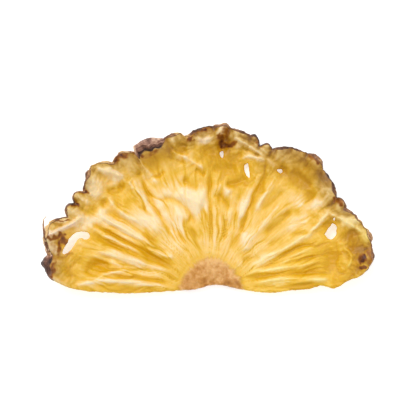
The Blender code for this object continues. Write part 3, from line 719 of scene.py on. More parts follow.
def slit_edge():
    """The long hole's edge: both sides of its middle line, rounded off at its ends."""
    rows = np.array(SLIT)
    at = np.linspace(0.0, len(rows) - 1.0, SLIT_STEPS)
    angle, share, half_width = (np.interp(at, np.arange(len(rows)), column) for column in rows.T)
    middle = place(angle, share)
    run = np.gradient(middle, axis=0)
    across = np.column_stack([-run[:, 1], run[:, 0]])
    across = smoothed_line(across / np.hypot(run[:, 0], run[:, 1])[:, None])
    rounded = np.sqrt(1.0 - np.abs(np.linspace(-1.0, 1.0, SLIT_STEPS)) ** 6)
    outer, inner = (
        across * (half_width * rounded * (1.0 + 0.16 * noise(1.9 * at, 0.0 * at, seed)))[:, None]
        for seed in SLIT_SEEDS
    )
    return even_points(np.vstack([middle + outer, (middle - inner)[::-1]]), HOLE_SPACING)


def smoothed_line(line):
    """A line of points, each the average of those near it."""
    reach = SLIT_STEPS // 10
    padded = np.pad(line, ((reach, reach), (0, 0)), mode="edge")
    return sum(padded[i : i + len(line)] for i in range(2 * reach + 1)) / (2 * reach + 1)


def hole_edge(angle, share, half_length, half_width, tilt, bend):
    """The uneven edge of one hole: an oval, bent along its long axis."""
    turn = np.linspace(0.0, 2.0 * math.pi, 240, endpoint=False)
    uneven = 1.0 + 0.12 * np.sin(2.0 * turn + angle) + 0.08 * np.sin(3.0 * turn + 2.0 * angle)
    uneven += 0.10 * noise(2.6 * np.cos(turn) + angle, 2.6 * np.sin(turn), 35)
    along = half_length * np.cos(turn) * uneven
    across = half_width * np.sign(np.sin(turn)) * np.abs(np.sin(turn)) ** 0.7 * uneven
    across += bend * (along**2 / half_length - half_length / 2.0)
    lean = math.radians(tilt)
    x = along * math.cos(lean) - across * math.sin(lean)
    y = along * math.sin(lean) + across * math.cos(lean)
    return even_points(place(np.array([angle]), share) + np.column_stack([x, y]), HOLE_SPACING)


def even_points(loop, spacing):
    """The same closed loop, with points about as far apart as spacing."""
    closed = np.vstack([loop, loop[:1]])
    run = np.concatenate([[0.0], np.cumsum(np.hypot(*np.diff(closed, axis=0).T))])
    at = np.linspace(0.0, run[-1], max(6, round(run[-1] / spacing)), endpoint=False)
    return np.column_stack([np.interp(at, run, closed[:, 0]), np.interp(at, run, closed[:, 1])])


def in_batches(function, points, size=4000):
    """A function of many points, run on a few at a time to save memory."""
    return np.concatenate([function(points[i : i + size]) for i in range(0, len(points), size)])


def inside(points, loop):
    """Which points lie in a closed loop."""
    x1, y1 = loop[:, 0], loop[:, 1]
    x2, y2 = np.roll(x1, -1), np.roll(y1, -1)
    slope = (x2 - x1) / np.where(y2 == y1, 1.0, y2 - y1)

    def batch(some):
        x, y = some[:, :1], some[:, 1:]
        spans = (y1 > y) != (y2 > y)
        return (spans & (x < x1 + (y - y1) * slope)).sum(axis=1) % 2 == 1

    return in_batches(batch, points)


def nearest(points, others):
    """Each point's distance from the nearest of the others."""

    def batch(some):
        squares = (some[:, :1] - others[:, 0]) ** 2 + (some[:, 1:] - others[:, 1]) ** 2
        return np.sqrt(squares.min(axis=1))

    return in_batches(batch, points)


def on_sheet(points, rim, holes):
    """Which points lie inside the rim and in none of the holes."""
    kept = inside(points, rim)
    for hole in holes:
        kept &= ~inside(points, hole)
    return kept


def flat_sheet(rim, holes):
    """The slice's plan as triangles: its points, its faces and its open edges."""
    reach = RING_RADIUS + 6.0
    rows = np.arange(-2.0, reach, SPACING * math.sqrt(0.75))
    x, y = np.meshgrid(np.arange(-reach, reach, SPACING), rows)
    x = x + (np.arange(len(rows)) % 2)[:, None] * SPACING / 2
    grid = np.column_stack([x.ravel(), y.ravel()])
    loops = [rim, *holes]
    grid = grid[on_sheet(grid, rim, holes)]
    grid = grid[nearest(grid, np.vstack(loops)) > POINT_CLEARANCE * SPACING]
    edges, start = [], 0
    for loop in loops:
        edges += [(start + i, start + (i + 1) % len(loop)) for i in range(len(loop))]
        start += len(loop)
    points = np.vstack([*loops, grid])
    made = delaunay_2d_cdt([Vector(p) for p in points], edges, [], 0, 1e-6, False)
    points, faces = np.array([tuple(p) for p in made[0]]), np.array(made[2])
    a, b, c = (points[faces[:, i]] for i in range(3))
    kept = on_sheet((a + b + c) / 3.0, rim, holes)
    clockwise = (b - a)[:, 0] * (c - a)[:, 1] < (b - a)[:, 1] * (c - a)[:, 0]
    faces[clockwise] = faces[clockwise][:, ::-1]
    return points, faces[kept], open_edges(faces[kept])


def sides(faces):
    """The three directed edges of every face."""
    return np.vstack([faces[:, [0, 1]], faces[:, [1, 2]], faces[:, [2, 0]]])


def open_edges(faces):
    """The directed edges that only one face has."""
    edges = sides(faces)
    key = np.sort(edges, axis=1) @ [faces.max() + 1, 1]
    _, first, count = np.unique(key, return_index=True, return_counts=True)
    return edges[first[count == 1]]


def dish(x, y, share):
    """How high the sheet curls off the tray."""
    across = (x - REST_SPOT[0]) / DISH_REACH[0]
    along = (y - REST_SPOT[1]) / DISH_REACH[1]
    raised = LEFT_END_RAISE * smoothstep(*LEFT_RAISE_RANGE, x)
    raised += RIM_RAISE * smoothstep(RAISE_START, 1.0, share)
    return DISH_HEIGHT * (across**2 + along**2) + raised


def fold_curve(fold):
    """Points along a fold: the smooth curve through its three places."""
    t = np.linspace(0.0, 1.0, FOLD_STEPS + 1)
    weights = ((1.0 - t) * (1.0 - 2.0 * t), 4.0 * t * (1.0 - t), t * (2.0 * t - 1.0))
    angle = sum(w * fold[2 * i] for i, w in enumerate(weights))
    share = sum(w * fold[2 * i + 1] for i, w in enumerate(weights))
    return place(angle, share)


def fold_relief(x, y, fold, crease=0.0):
    """One fold's height at each point, with a share of it gathered in a narrow crease."""
    height, half_width = fold[6:]
    curve = fold_curve(fold)
    reach = 2.5 * half_width
    low, high = curve.min(axis=0) - reach, curve.max(axis=0) + reach
    near = (x > low[0]) & (x < high[0]) & (y > low[1]) & (y < high[1])
    points = np.column_stack([x[near], y[near]])
    closest = np.full(len(points), np.inf)
    along = np.zeros(len(points))
    for i, (a, b) in enumerate(zip(curve[:-1], curve[1:])):
        run = b - a
        t = np.clip(((points - a) @ run) / (run @ run), 0.0, 1.0)
        away = np.hypot(*(points - a - t[:, None] * run).T)
        along = np.where(away < closest, (i + t) / FOLD_STEPS, along)
        closest = np.minimum(away, closest)
    fade = smoothstep(0.0, FOLD_TAPER, along) * smoothstep(1.0, 1.0 - FOLD_TAPER, along)
    profile = bell(closest, half_width) + crease * np.exp(-3.0 * closest / half_width)
    relief = np.zeros_like(x)
    relief[near] = height * fade * profile
    return relief


def folds_relief(x, y, folds, crease=0.0):
    return sum(fold_relief(x, y, fold, crease) for fold in folds)


def mounds(x, y, rows):
    """Round mounds, and hollows where the height is below 0: (angle, share, height, radius)."""
    relief = np.zeros_like(x)
    for angle, share, height, radius in rows:
        centre = place(np.array([angle]), share)[0]
        relief += height * bell(np.hypot(x - centre[0], y - centre[1]), radius)
    return relief


def rim_ruffle(angle, share):
    """The lobes lift at the rim and tuck down between each other."""
    first, _, t = lobe_at(angle)
    near = smoothstep(RUFFLE_START, 1.0, share)
    return near * (first[..., 4] * np.sin(math.pi * t) ** 1.5 - tucks(angle))


def core_share(angle, distance):
    """1 in the core and 0 in the flesh, with a ragged edge."""
    ragged = noises(angle, 0.0 * angle, CORE_RAGGED) + 0.7 * np.sin(np.radians(2.0 * angle)) ** 2
    return smoothstep(CORE_RADIUS + CORE_EDGE[0], CORE_RADIUS - CORE_EDGE[1], distance + ragged)


def pleats(x, y, angle, distance):
    """Fine pleats that run out from the core, closer together near it, and the lines between."""
    fan = angle + np.degrees(noises(x, y, FAN_WANDER) / np.maximum(distance, 8.0))
    strength = np.clip(0.7 + 0.6 * noise(x / 9.0, y / 9.0, 13), 0.15, 1.3)
    strength *= 0.6 + 0.4 * smoothstep(20.0, 55.0, np.abs(angle - 90.0))
    relief = billows(fan, distance, PLEATS) * strength
    lines = np.zeros_like(x)
    for apart, run, depth, width, seed in FIBRES:
        line = noise(fan / apart, distance / run, seed) + 0.25 * noise(x / 6.0, y / 6.0, seed + 3)
        shown = smoothstep(-0.2, 0.5, noise(fan / (2.0 * apart), distance / 12.0, seed + 6))
        lines += depth * shown * bell(line, width)
    shown = smoothstep(CORE_RADIUS - 0.3, CORE_RADIUS + 2.0, distance)
    shown *= 1.0 - 0.75 * smoothstep(0.74, 0.86, distance / RING_RADIUS)
    return (relief - lines) * shown, lines * shown


def crumples(x, y, share):
    """Crumpling that runs no one way, strongest near the rim."""
    warp_x = x + 1.5 * noise(x / 6.0, y / 6.0, 14)
    warp_y = y + 1.5 * noise(x / 6.0, y / 6.0, 15)
    relief = billows(warp_x, warp_y, CRUMPLES)
    return relief * (0.3 + 0.7 * smoothstep(0.64, 0.86, share))


def rim_crimps(angle, share):
    """Short steep puckers across the rim."""
    inward = (1.0 - share) * RING_RADIUS
    return billows(rim_arc(angle), inward, PUCKERS) * smoothstep(0.82, 0.97, share)


def crumpling(angle):
    """How far the rim crumpled at each angle, from 0 to 1."""
    crumpled = np.ones_like(angle)
    for at, width, power, share in SMOOTH_SPOTS:
        crumpled -= share * bell(angle - at, width, power)
    return crumpled


def flaking(angle):
    """How far the rind flaked at each angle."""
    patch = np.zeros_like(angle)
    for start, whole, fading, end, strength in FLAKES:
        patch += strength * smoothstep(start, whole, angle) * smoothstep(end, fading, angle)
    return patch * (1.0 + 0.35 * noise(angle / 2.3, 0.0 * angle, 86))


def tints_and_painted_light(x, y, angle, distance):
    """How much paler the flesh is at each point, and below 0 how much deeper amber, with painted
    highlights and shade.
    """
    wander = 0.8 * noise(x / 4.0, y / 4.0, 81)
    tone = folds_relief(x, y, PAINTED_CREST_HIGHLIGHTS)
    for at, share, across, along, paler in TINTS_AND_PAINTED_LIGHT:
        off = np.radians(angle - at) * share * RING_RADIUS + wander
        tone += paler * bell(off, across) * bell(distance - share * RING_RADIUS, along)
    return tone


def stretches(angle, rows):
    """What the stretches in `rows` add up to at each angle."""
    total = np.zeros_like(angle)
    for first, last, amount in rows:
        begun = smoothstep(first - STRETCH_ENDS, first + STRETCH_ENDS, angle)
        total += amount * begun * smoothstep(last + STRETCH_ENDS, last - STRETCH_ENDS, angle)
    return total


def browning_and_shade(angle, share):
    """How far the flesh next to the rim darkens at each point, from browning and painted shade."""
    return (BROWNING_AND_SHADE_ALL_ROUND + stretches(angle, BROWNING_AND_SHADE)) * smoothstep(0.74, 0.92, share)


def toast_and_shade(x, y, angle, share):
    """How far the flesh at the rim darkens at each point, from toasting and painted shade."""
    edge = share + 0.02 * noise(x / 1.8, y / 1.8, 92)
    return stretches(angle, TOAST_AND_SHADE) * smoothstep(1.0 - TOAST_AND_SHADE_WIDTH, 1.0, edge)


def stains_and_shade(x, y):
    """How brown each point is, from stained spots and from painted shade."""
    wander_x, wander_y = (at + noises(x, y, layers) for at, layers in zip((x, y), STAIN_AND_SHADE_WANDER))
    brown = np.zeros_like(x)
    for stain_and_shade in STAINS_AND_SHADE:
        brown = np.maximum(brown, fold_relief(wander_x, wander_y, stain_and_shade))
    return brown * (1.0 + 0.5 * noise(x / 1.2, y / 1.2, 91))


def smoothed(values, faces, rounds):
    """Each point's value averaged again and again with its neighbours'."""
    start, end = sides(faces).T
    size = len(values)
    count = np.maximum(np.bincount(start, minlength=size) + np.bincount(end, minlength=size), 1)
    for _ in range(rounds):
        total = np.bincount(start, weights=values[end], minlength=size)
        total += np.bincount(end, weights=values[start], minlength=size)
        values = 0.5 * values + 0.5 * total / count
    return values


def strand(rim_points):
    """The peeled strand: a tapering rod that rests on the rim at its thick end."""
    rows = np.array(STRAND)
    t = np.linspace(0.0, len(rows) - 1.0, STRAND_RINGS)
    angle, share, rise, radius = (np.interp(t, np.arange(len(rows)), column) for column in rows.T)
    middle = place(angle, share)
    closest = [np.argmin(np.hypot(*(rim_points[:, :2] - spot).T)) for spot in middle]
    height = np.convolve(np.pad(rim_points[closest, 2], 6, mode="edge"), np.ones(13) / 13.0, "valid")
    middle = np.column_stack([middle, height + rise])
    run = np.gradient(middle, axis=0)
    across = np.column_stack([-run[:, 1], run[:, 0], np.zeros(len(run))])
    across /= np.linalg.norm(across, axis=1)[:, None]
    turn = np.linspace(0.0, 2.0 * math.pi, STRAND_SIDES, endpoint=False)
    rough = 1.0 + 0.25 * noise(t[:, None] * 2.0, turn[None, :], 85)
    flat = (radius[:, None] * rough * np.cos(turn))[..., None] * across[:, None, :]
    rings = middle[:, None, :] + flat
    rings[..., 2] += 0.7 * radius[:, None] * rough * np.sin(turn)
    triangles = []
    for i in range(STRAND_RINGS - 1):
        for j in range(STRAND_SIDES):
            a, b = i * STRAND_SIDES + j, i * STRAND_SIDES + (j + 1) % STRAND_SIDES
            triangles += [(a, a + STRAND_SIDES, b), (b, a + STRAND_SIDES, b + STRAND_SIDES)]
    last = (STRAND_RINGS - 1) * STRAND_SIDES
    for j in range(1, STRAND_SIDES - 1):
        triangles += [(0, j, j + 1), (last, last + j + 1, last + j)]
    return rings.reshape(-1, 3), np.array(triangles)


def thickness(core, share, from_hole):
    """How far the sheet reaches above its middle and below it, before its fine relief."""
    half = (FLESH_THICKNESS + (CORE_THICKNESS - FLESH_THICKNESS) * core) / 2.0
    extra = (RIM_THICKNESS - FLESH_THICKNESS) * smoothstep(*RIM_THICKENS, share)
    whole = smoothstep(0.0, HOLE_TAPER, from_hole)
    thin = THIN_EDGE / 2.0
    return [thin + (half + extra * part - thin) * whole for part in (1.0 - RIM_DROP, RIM_DROP)]


def side_wall(top, bottom, edges, outward, rind, angle):
    """The sheet's side between its faces, in strips: its points and its triangles."""
    used = np.unique(edges)
    arc = rim_arc(angle[used])
    rows = []
    for k in range(1, WALL_ROWS):
        t = k / WALL_ROWS
        row = top[used] * (1.0 - t) + bottom[used] * t
        bulge = np.sin(math.pi * t)
        bark = np.zeros_like(arc)
        for apart, run, height, seed in BARK:
            bark += height * billow(arc / apart, 0 * arc + run * t, seed)
        out = bulge * (WALL_BULGE + rind[used] * bark * 0.35 * crumpling(angle[used]))
        row[:, :2] += out[:, None] * outward[used]
        row[:, 2] += 0.35 * rind[used] * bulge * noise(arc / 1.6, 0 * arc + 1.5 * t, 63)
        rows.append(row)

    n, m = len(top), len(used)
    where = np.full(n, -1)
    where[used] = np.arange(m)

    def chain(ends):
        """One end of every edge, on the upper face, on each row of the side and on the lower."""
        return [ends] + [2 * n + k * m + where[ends] for k in range(WALL_ROWS - 1)] + [n + ends]

    a, b = chain(edges[:, 0]), chain(edges[:, 1])
    wall = []
    for k in range(WALL_ROWS):
        wall.append(np.column_stack([b[k], a[k], a[k + 1]]))
        wall.append(np.column_stack([b[k], a[k + 1], b[k + 1]]))
    return rows, np.vstack(wall)


def facing_out(points, edges):
    """The direction that faces out of the sheet at each point on its edges."""
    outward = np.zeros_like(points)
    run = points[edges[:, 1]] - points[edges[:, 0]]
    normal = np.column_stack([run[:, 1], -run[:, 0]]) / np.hypot(run[:, 0], run[:, 1])[:, None]
    np.add.at(outward, edges[:, 0], normal)
    np.add.at(outward, edges[:, 1], normal)
    return outward / np.maximum(np.hypot(*outward.T), 1e-9)[:, None]


def build_sheet():
    """The whole slice: its points, its triangles, which are bark, and what its materials read."""
    holes = [slit_edge(), *(hole_edge(*hole) for hole in HOLES)]
    points, faces, edges = flat_sheet(outline(), holes)
    x, y = points.T
    angle, distance = polar(x, y)
    share = distance / rim_radius(angle)
    inward = (1.0 - share) * RING_RADIUS
    from_hole = nearest(points, np.vstack(holes))
    core = core_share(angle, distance)

    # The sheet's middle, its relief and its two faces
    above, below = thickness(core, share, from_hole)
    pits = -mounds(x, y, EYE_PITS)
    curl = dish(x, y, share)
    folds = folds_relief(x, y, FOLDS + SMALL_FOLDS, FOLD_CREASE)
    middle = curl + pits + rim_ruffle(angle, share) + folds
    fine, lines = pleats(x, y, angle, distance)
    fine += crumples(x, y, share) * crumpling(angle)
    fine *= (1.0 - core) * smoothstep(0.0, 1.2, from_hole)
    patch = flaking(angle)
    flakes = 0.3 * billow(rim_arc(angle) / 6.0, inward / 0.7, 87)
    fine += flakes * patch * smoothstep(0.90, 0.94, share) + mounds(x, y, NUBS)
    fine += rim_crimps(angle, share) * crumpling(angle) + noises(x, y, CORE_GRAIN) * core
    fine -= GROOVE_DEPTH * bell(distance - CORE_RADIUS - GROOVE_OUTSIDE, GROOVE_WIDTH)
    under = UNDER_RELIEF * fine + 0.15 * noise(x / 2.2, y / 2.2, 18)
    lower = np.maximum(middle + under - below - TRAY_LEVEL, 0.0)
    upper = np.maximum(middle + fine + above - TRAY_LEVEL, lower + LEAST_THICKNESS)
    box_low, box_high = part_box("half_ring")
    ceiling = (box_high[2] - box_low[2]) / MM - 1.0
    upper = np.where(upper > ceiling, ceiling + np.tanh(upper - ceiling), upper)
    lower = np.minimum(lower, upper - LEAST_THICKNESS)
    at_rim = smoothstep(LEAN_START, 1.0, share)
    towards_core = -points / np.maximum(distance, 1.0)[:, None]
    top = np.column_stack([points + towards_core * (rim_lean(angle) * at_rim)[:, None], upper])
    bottom = np.column_stack([points + towards_core * (UNDER_TUCK * at_rim)[:, None], lower])

    off_hole = from_hole > HOLE_SIDE
    rind = smoothstep(*RIND_RANGE, share) * (y > 1.0) * off_hole
    rows, wall = side_wall(top, bottom, edges, facing_out(points, edges), rind, angle)
    vertices = np.vstack([top, bottom, *rows])
    triangles = np.vstack([faces, len(points) + faces[:, ::-1], wall])

    # What the materials read at each point, with where highlights and shade are painted
    relief = upper - curl
    broad, close = smoothed(relief, faces, 60), smoothed(relief, faces, 6)
    used = np.unique(edges)
    looks = {
        # Above 0 on crests and below 0 in grooves: it paints highlights on crests and shade in grooves
        "cavity": close - broad + 1.2 * (relief - close),
        "core": core,
        "share": share,
        "angle": angle / 180.0,
        "pits": -pits,
        "white_highlight": folds_relief(x, y, PAINTED_WHITE_HIGHLIGHTS),
        "toast_and_shade": toast_and_shade(x, y, angle, share),
        "flake": patch,
        "rind_tone": stretches(angle, RIND_TONE),
        "tint_and_painted_light": tints_and_painted_light(x, y, angle, distance),
        "brown": stains_and_shade(x, y),
        "browning_and_shade": browning_and_shade(angle, share),
        "lines": lines,
    }
    for name, values in looks.items():
        looks[name] = np.concatenate([values, values, np.tile(values[used], WALL_ROWS - 1)])
    band = np.maximum(0.010 + 0.016 * noise(np.radians(angle) * 14.0, 0.0 * angle, 83), 0.002)
    band += 0.055 * patch
    off_cut = off_hole * smoothstep(0.6, 1.8, y)
    edge_rind = smoothstep(1.0 - 1.3 * band, 1.0 - 0.7 * band, share) * off_cut
    under_rind = smoothstep(0.955, 0.985, share + 0.01 * noise(x / 2.0, y / 2.0, 84)) * off_cut
    looks["rind"] = np.concatenate([edge_rind, under_rind, np.tile(rind[used], WALL_ROWS - 1)])
    starts = edges[:, 0]
    rind_edges = (rind[starts] > 0.5) & (y[starts] > 1.5)
    on_faces = looks["rind"][triangles[: 2 * len(faces)]].min(axis=1) > 0.5

    # The peeled strand, all of it rind
    rod_points, rod = strand(top[used])
    bark = [on_faces, np.tile(rind_edges, 2 * WALL_ROWS), np.repeat(True, len(rod))]
    triangles = np.vstack([triangles, rod + len(vertices)])
    for name, values in looks.items():
        rod_value = float(name in ("rind", "share"))
        looks[name] = np.concatenate([values, np.repeat(rod_value, len(rod_points))])
    return np.vstack([vertices, rod_points]), triangles, np.concatenate(bark), looks


def build_mesh(name, vertices, triangles, slots, looks):
    """The mesh object, centred over the solid's plan and resting at its lowest level."""
    plan = vertices[: -STRAND_RINGS * STRAND_SIDES, :2]
    box_low, box_high = (np.array(corner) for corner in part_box("half_ring"))
    centre = (box_low + box_high) / 2.0
    vertices = vertices - [*(plan.min(axis=0) + plan.max(axis=0)) / 2.0, 0.0]
    vertices = vertices * MM + [centre[0], centre[1], box_low[2]]
    mesh = bpy.data.meshes.new(name)
    mesh.from_pydata(vertices, [], triangles, shade_flat=False)
    mesh.polygons.foreach_set("material_index", slots.astype(np.int32))
    mesh.validate()
    for look, values in looks.items():
        layer = mesh.attributes.new(look, "FLOAT", "POINT")
        layer.data.foreach_set("value", values.astype(np.float32))
    return link(bpy.data.objects.new(name, mesh))


def link(obj):
    bpy.context.scene.collection.objects.link(obj)
    return obj


# ---- Materials ----


def srgb(red, green, blue):
    """A colour as the eye sees it, from 0 to 255, turned into a linear one."""
    linear = (((c / 255 + 0.055) / 1.055) ** 2.4 if c > 10 else c / 3294.6 for c in (red, green, blue))
    return (*linear, 1.0)


def put(tree, node, name, value):
    """Set an input, given by its name or as _ and its number, to a number or a link."""
    socket = node.inputs[int(name[1:])] if name[0] == "_" else node.inputs[name.replace("_", " ")]
    if isinstance(value, bpy.types.NodeSocket):
        tree.links.new(value, socket)
    else:
        socket.default_value = value


def put_all(tree, node, **inputs):
    for name, value in inputs.items():
        put(tree, node, name, value)


def add(tree, kind, **inputs):
    node = tree.nodes.new(kind)
    put_all(tree, node, **inputs)
    return node


def maths(tree, operation, a, b=0.0, c=0.0, clamp=False):
    node = add(tree, "ShaderNodeMath", _0=a, _1=b, _2=c)
    node.operation = operation
    node.use_clamp = clamp
    return node.outputs[0]


def plus(tree, tone, amount, value, clamp=False):
    """The tone with so much of a value added."""
    return maths(tree, "MULTIPLY_ADD", value, amount, tone, clamp)


def vary(tree, tone, amount, texture, clamp=False):
    """The tone, raised and lowered by a texture that runs from 0 to 1."""
    return plus(tree, tone, amount, maths(tree, "SUBTRACT", texture, 0.5), clamp)


def step(tree, value, low, high, to_low=0.0, to_high=1.0):
    """The value turned from low..high to to_low..to_high, smoothly, and held at its ends."""
    ends = {"From_Min": low, "From_Max": high, "To_Min": to_low, "To_Max": to_high}
    node = add(tree, "ShaderNodeMapRange", Value=value, **ends)
    node.interpolation_type = "SMOOTHSTEP"
    return node.outputs[0]


def attribute(tree, name):
    node = add(tree, "ShaderNodeAttribute")
    node.attribute_name = name
    return node.outputs["Fac"]


def ramp(tree, value, stops):
    """Colours along a value: (where, red, green, blue)."""
    node = add(tree, "ShaderNodeValToRGB", Fac=value)
    elements = node.color_ramp.elements
    while len(elements) < len(stops):
        elements.new(0.5)
    for element, (position, *colour) in zip(elements, stops):
        element.position = position
        element.color = srgb(*colour)
    return node.outputs["Color"]


def mix(tree, factor, a, b, blend="MIX"):
    node = tree.nodes.new("ShaderNodeMix")
    node.data_type = "RGBA"
    node.blend_type = blend
    node.clamp_factor = True
    put_all(tree, node, _0=factor, _6=a, _7=b)
    return node.outputs[2]


def grain(tree, vector, scale, detail=2.0, roughness=0.5, distortion=0.0):
    inputs = {"Scale": scale, "Detail": detail, "Roughness": roughness, "Distortion": distortion}
    return add(tree, "ShaderNodeTexNoise", Vector=vector, **inputs).outputs["Fac"]


def fan_vector(tree, round_it, outwards):
    """Coordinates that run round the core and out from it, each so many times as fine."""
    x = maths(tree, "MULTIPLY", attribute(tree, "angle"), round_it)
    y = maths(tree, "MULTIPLY", attribute(tree, "share"), outwards)
    return add(tree, "ShaderNodeCombineXYZ", X=x, Y=y).outputs[0]


def new_material(name, **inputs):
    """A material, its node tree and its shader."""
    made = bpy.data.materials.new(name)
    made.use_nodes = True
    shader = made.node_tree.nodes["Principled BSDF"]
    put_all(made.node_tree, shader, **inputs)
    return made, made.node_tree, shader


def finish_surface(tree, shader, colour, height, strength):
    """Give a shader its colour and its finest bumps."""
    bump = add(tree, "ShaderNodeBump", Height=height, Strength=strength, Distance=BUMP_DISTANCE)
    put_all(tree, shader, Base_Color=colour, Normal=bump.outputs[0])


def flesh_tone(tree, where, share, cavity, fibres, wide):
    """How pale the flesh is, from 0 to 1, with painted highlights on crests and painted shade in
    hollows.
    """
    patches = grain(tree, where, 170.0, 3.0, 0.6)
    # Painted highlight on the crests and painted shade in the grooves
    tone = plus(tree, 0.5, 0.66, cavity)
    # Its own tints, with painted highlights on crests and some painted shade
    tone = plus(tree, tone, 0.75, attribute(tree, "tint_and_painted_light"))
    tone = vary(tree, tone, step(tree, share, 0.74, 0.86, 0.6, 0.1), fibres)
    tone = vary(tree, tone, step(tree, share, 0.66, 0.82, 0.25, 0.8), patches)
    tone = vary(tree, tone, 0.4, wide)
    # Painted shade: deeper amber in the eye pits
    tone = plus(tree, tone, -0.25, step(tree, attribute(tree, "pits"), 0.1, 1.2), clamp=True)
    # Painted shade along the thin creases
    return plus(tree, tone, -1.4, attribute(tree, "lines"), clamp=True)


def core_colour(tree, where, cavity):
    # Painted highlight on the core's crests and painted shade in its hollows
    tone = plus(tree, 0.5, 1.3, cavity)
    tone = vary(tree, tone, 1.1, grain(tree, where, 620.0, 3.0, 0.7))
    tone = vary(tree, tone, 1.5, grain(tree, where, 190.0, 2.0, 0.5), clamp=True)
    return ramp(tree, tone, CORE_COLOURS)


def flesh_material():
    made, tree, shader = new_material(
        "dried_flesh", Roughness=0.42, Specular_IOR_Level=0.4, Subsurface_Weight=0.25,
        Subsurface_Radius=(1.0, 0.7, 0.25), Subsurface_Scale=0.0012,
    )
    where = tree.nodes.new("ShaderNodeTexCoord").outputs["Object"]
    cavity, share, around = (attribute(tree, name) for name in ("cavity", "share", "angle"))
    fibres = grain(tree, fan_vector(tree, 150.0, 9.0), 1.2, 4.0, 0.65)
    wide = grain(tree, where, 45.0, 2.0, 0.5)
    tone = flesh_tone(tree, where, share, cavity, fibres, wide)
    flesh, browned_and_shaded = ramp(tree, tone, FLESH_COLOURS), ramp(tree, tone, BROWNED_AND_SHADED_COLOURS)
    # Browning next to the rim, with painted shade
    flesh = mix(tree, attribute(tree, "browning_and_shade"), flesh, browned_and_shaded)
    rim_tone = plus(tree, tone, 0.7, attribute(tree, "rind_tone"), clamp=True)
    at_rim = step(tree, vary(tree, share, 0.16, wide), 0.87, 1.0, 0.0, 0.9)
    colour = mix(tree, at_rim, flesh, ramp(tree, rim_tone, RIM_COLOURS))
    golden = step(tree, around, *GOLDEN_RANGE, 1.0, 0.0)
    colour = mix(tree, golden, colour, GOLDEN, "MULTIPLY")
    amber = step(tree, around, *AMBER_RANGE, 1.0, 0.0)
    amber = maths(tree, "MULTIPLY", amber, step(tree, share, 0.68, 0.78))
    colour = mix(tree, amber, colour, AMBER, "MULTIPLY")
    colour = mix(tree, attribute(tree, "core"), colour, core_colour(tree, where, cavity))
    # Toasting at the rim's edge, with painted shade
    colour = mix(tree, attribute(tree, "toast_and_shade"), colour, srgb(138, 90, 34))
    # Painted white highlights along crests
    colour = mix(tree, attribute(tree, "white_highlight"), colour, srgb(240, 214, 186))
    # Brown stains, with painted shade in the rim's creases, the pocket and under the ridge
    stain_and_shade = attribute(tree, "brown")
    colour = mix(tree, step(tree, stain_and_shade, 0.05, 0.5), colour, ramp(tree, stain_and_shade, STAIN_AND_SHADE_COLOURS))
    colour = mix(tree, step(tree, attribute(tree, "rind"), 0.1, 0.7), colour, srgb(124, 84, 50))
    bumps = maths(tree, "ADD", fibres, grain(tree, where, 1500.0, 3.0, 0.6))
    finish_surface(tree, shader, colour, bumps, 0.5)
    return made


def bark_material():
    made, tree, shader = new_material("dried_rind", Roughness=0.62)
    where = tree.nodes.new("ShaderNodeTexCoord").outputs["Object"]
    share, flake = attribute(tree, "share"), attribute(tree, "flake")
    small = grain(tree, where, 1100.0, 3.0, 0.7)
    tone = vary(tree, grain(tree, where, 260.0, 3.0, 0.6, 0.5), 0.6, small)
    tone = vary(tree, tone, 1.2, grain(tree, fan_vector(tree, 45.0, 90.0), 1.0, 3.0, 0.6))
    tone = plus(tree, tone, step(tree, share, 0.94, 0.985, -0.3, 0.16), flake)
    tone = maths(tree, "ADD", attribute(tree, "rind_tone"), tone)
    tone = vary(tree, tone, 1.4, grain(tree, where, 110.0, 1.0, 0.5), clamp=True)
    brownish = step(tree, flake, 0.0, 0.25, 1.0, 0.0)
    colour = mix(tree, brownish, ramp(tree, tone, BARK_COLOURS), BROWNISH, "MULTIPLY")
    finish_surface(tree, shader, colour, small, 0.6)
    return made


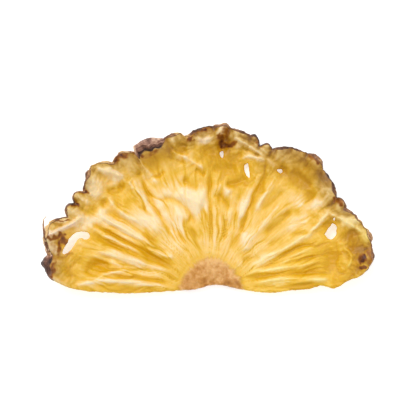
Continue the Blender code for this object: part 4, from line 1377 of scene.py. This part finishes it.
# ---- The studio ----


def look_at(obj, target):
    obj.rotation_euler = (Vector(target) - obj.location).to_track_quat("-Z", "Y").to_euler()


def area_light(name, location, size, power):
    data = bpy.data.lights.new(name, "AREA")
    data.size = size
    data.energy = power
    obj = link(bpy.data.objects.new(name, data))
    obj.location = location
    look_at(obj, (0.0, 0.0, 0.0))


def studio():
    world = bpy.data.worlds.new("studio")
    world.use_nodes = True
    background = world.node_tree.nodes["Background"]
    put_all(world.node_tree, background, Color=(1.0, 1.0, 1.0, 1.0), Strength=0.51)
    bpy.context.scene.world = world
    bpy.context.scene.view_settings.view_transform = "Standard"
    plan = [(-FLOOR_REACH, -FLOOR_REACH), (FLOOR_REACH, -FLOOR_REACH)]
    plan += [(FLOOR_REACH, FLOOR_REACH), (-FLOOR_REACH, FLOOR_REACH)]
    mesh = bpy.data.meshes.new("floor")
    mesh.from_pydata([(x, y, FLOOR_LEVEL) for x, y in plan], [], [(0, 1, 2, 3)])
    mesh.materials.append(new_material(
        "pale_table", Base_Color=(0.93, 0.93, 0.93, 1.0), Roughness=0.8,
        Emission_Color=(0.87, 0.95, 1.0, 1.0), Emission_Strength=0.46,
    )[0])
    link(bpy.data.objects.new("floor", mesh))
    area_light("key", (-0.20, 0.34, 0.50), 0.40, 2.32)
    area_light("fill", (0.30, -0.25, 0.65), 0.6, 1.3)


def camera():
    data = bpy.data.cameras.new("camera")
    data.lens = CAMERA_LENS
    obj = link(bpy.data.objects.new("camera", data))
    x, y, z = CAMERA_TARGET
    back = CAMERA_DISTANCE * math.cos(CAMERA_ELEVATION)
    obj.location = (x, y - back, z + CAMERA_DISTANCE * math.sin(CAMERA_ELEVATION))
    look_at(obj, CAMERA_TARGET)
    bpy.context.scene.camera = obj


vertices, triangles, bark_faces, looks = build_sheet()
sheet = build_mesh("pineapple_half_ring", vertices, triangles, bark_faces, looks)
sheet.data.materials.append(flesh_material())
sheet.data.materials.append(bark_material())
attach(sheet, "root")
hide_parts("half_ring")
studio()
camera()
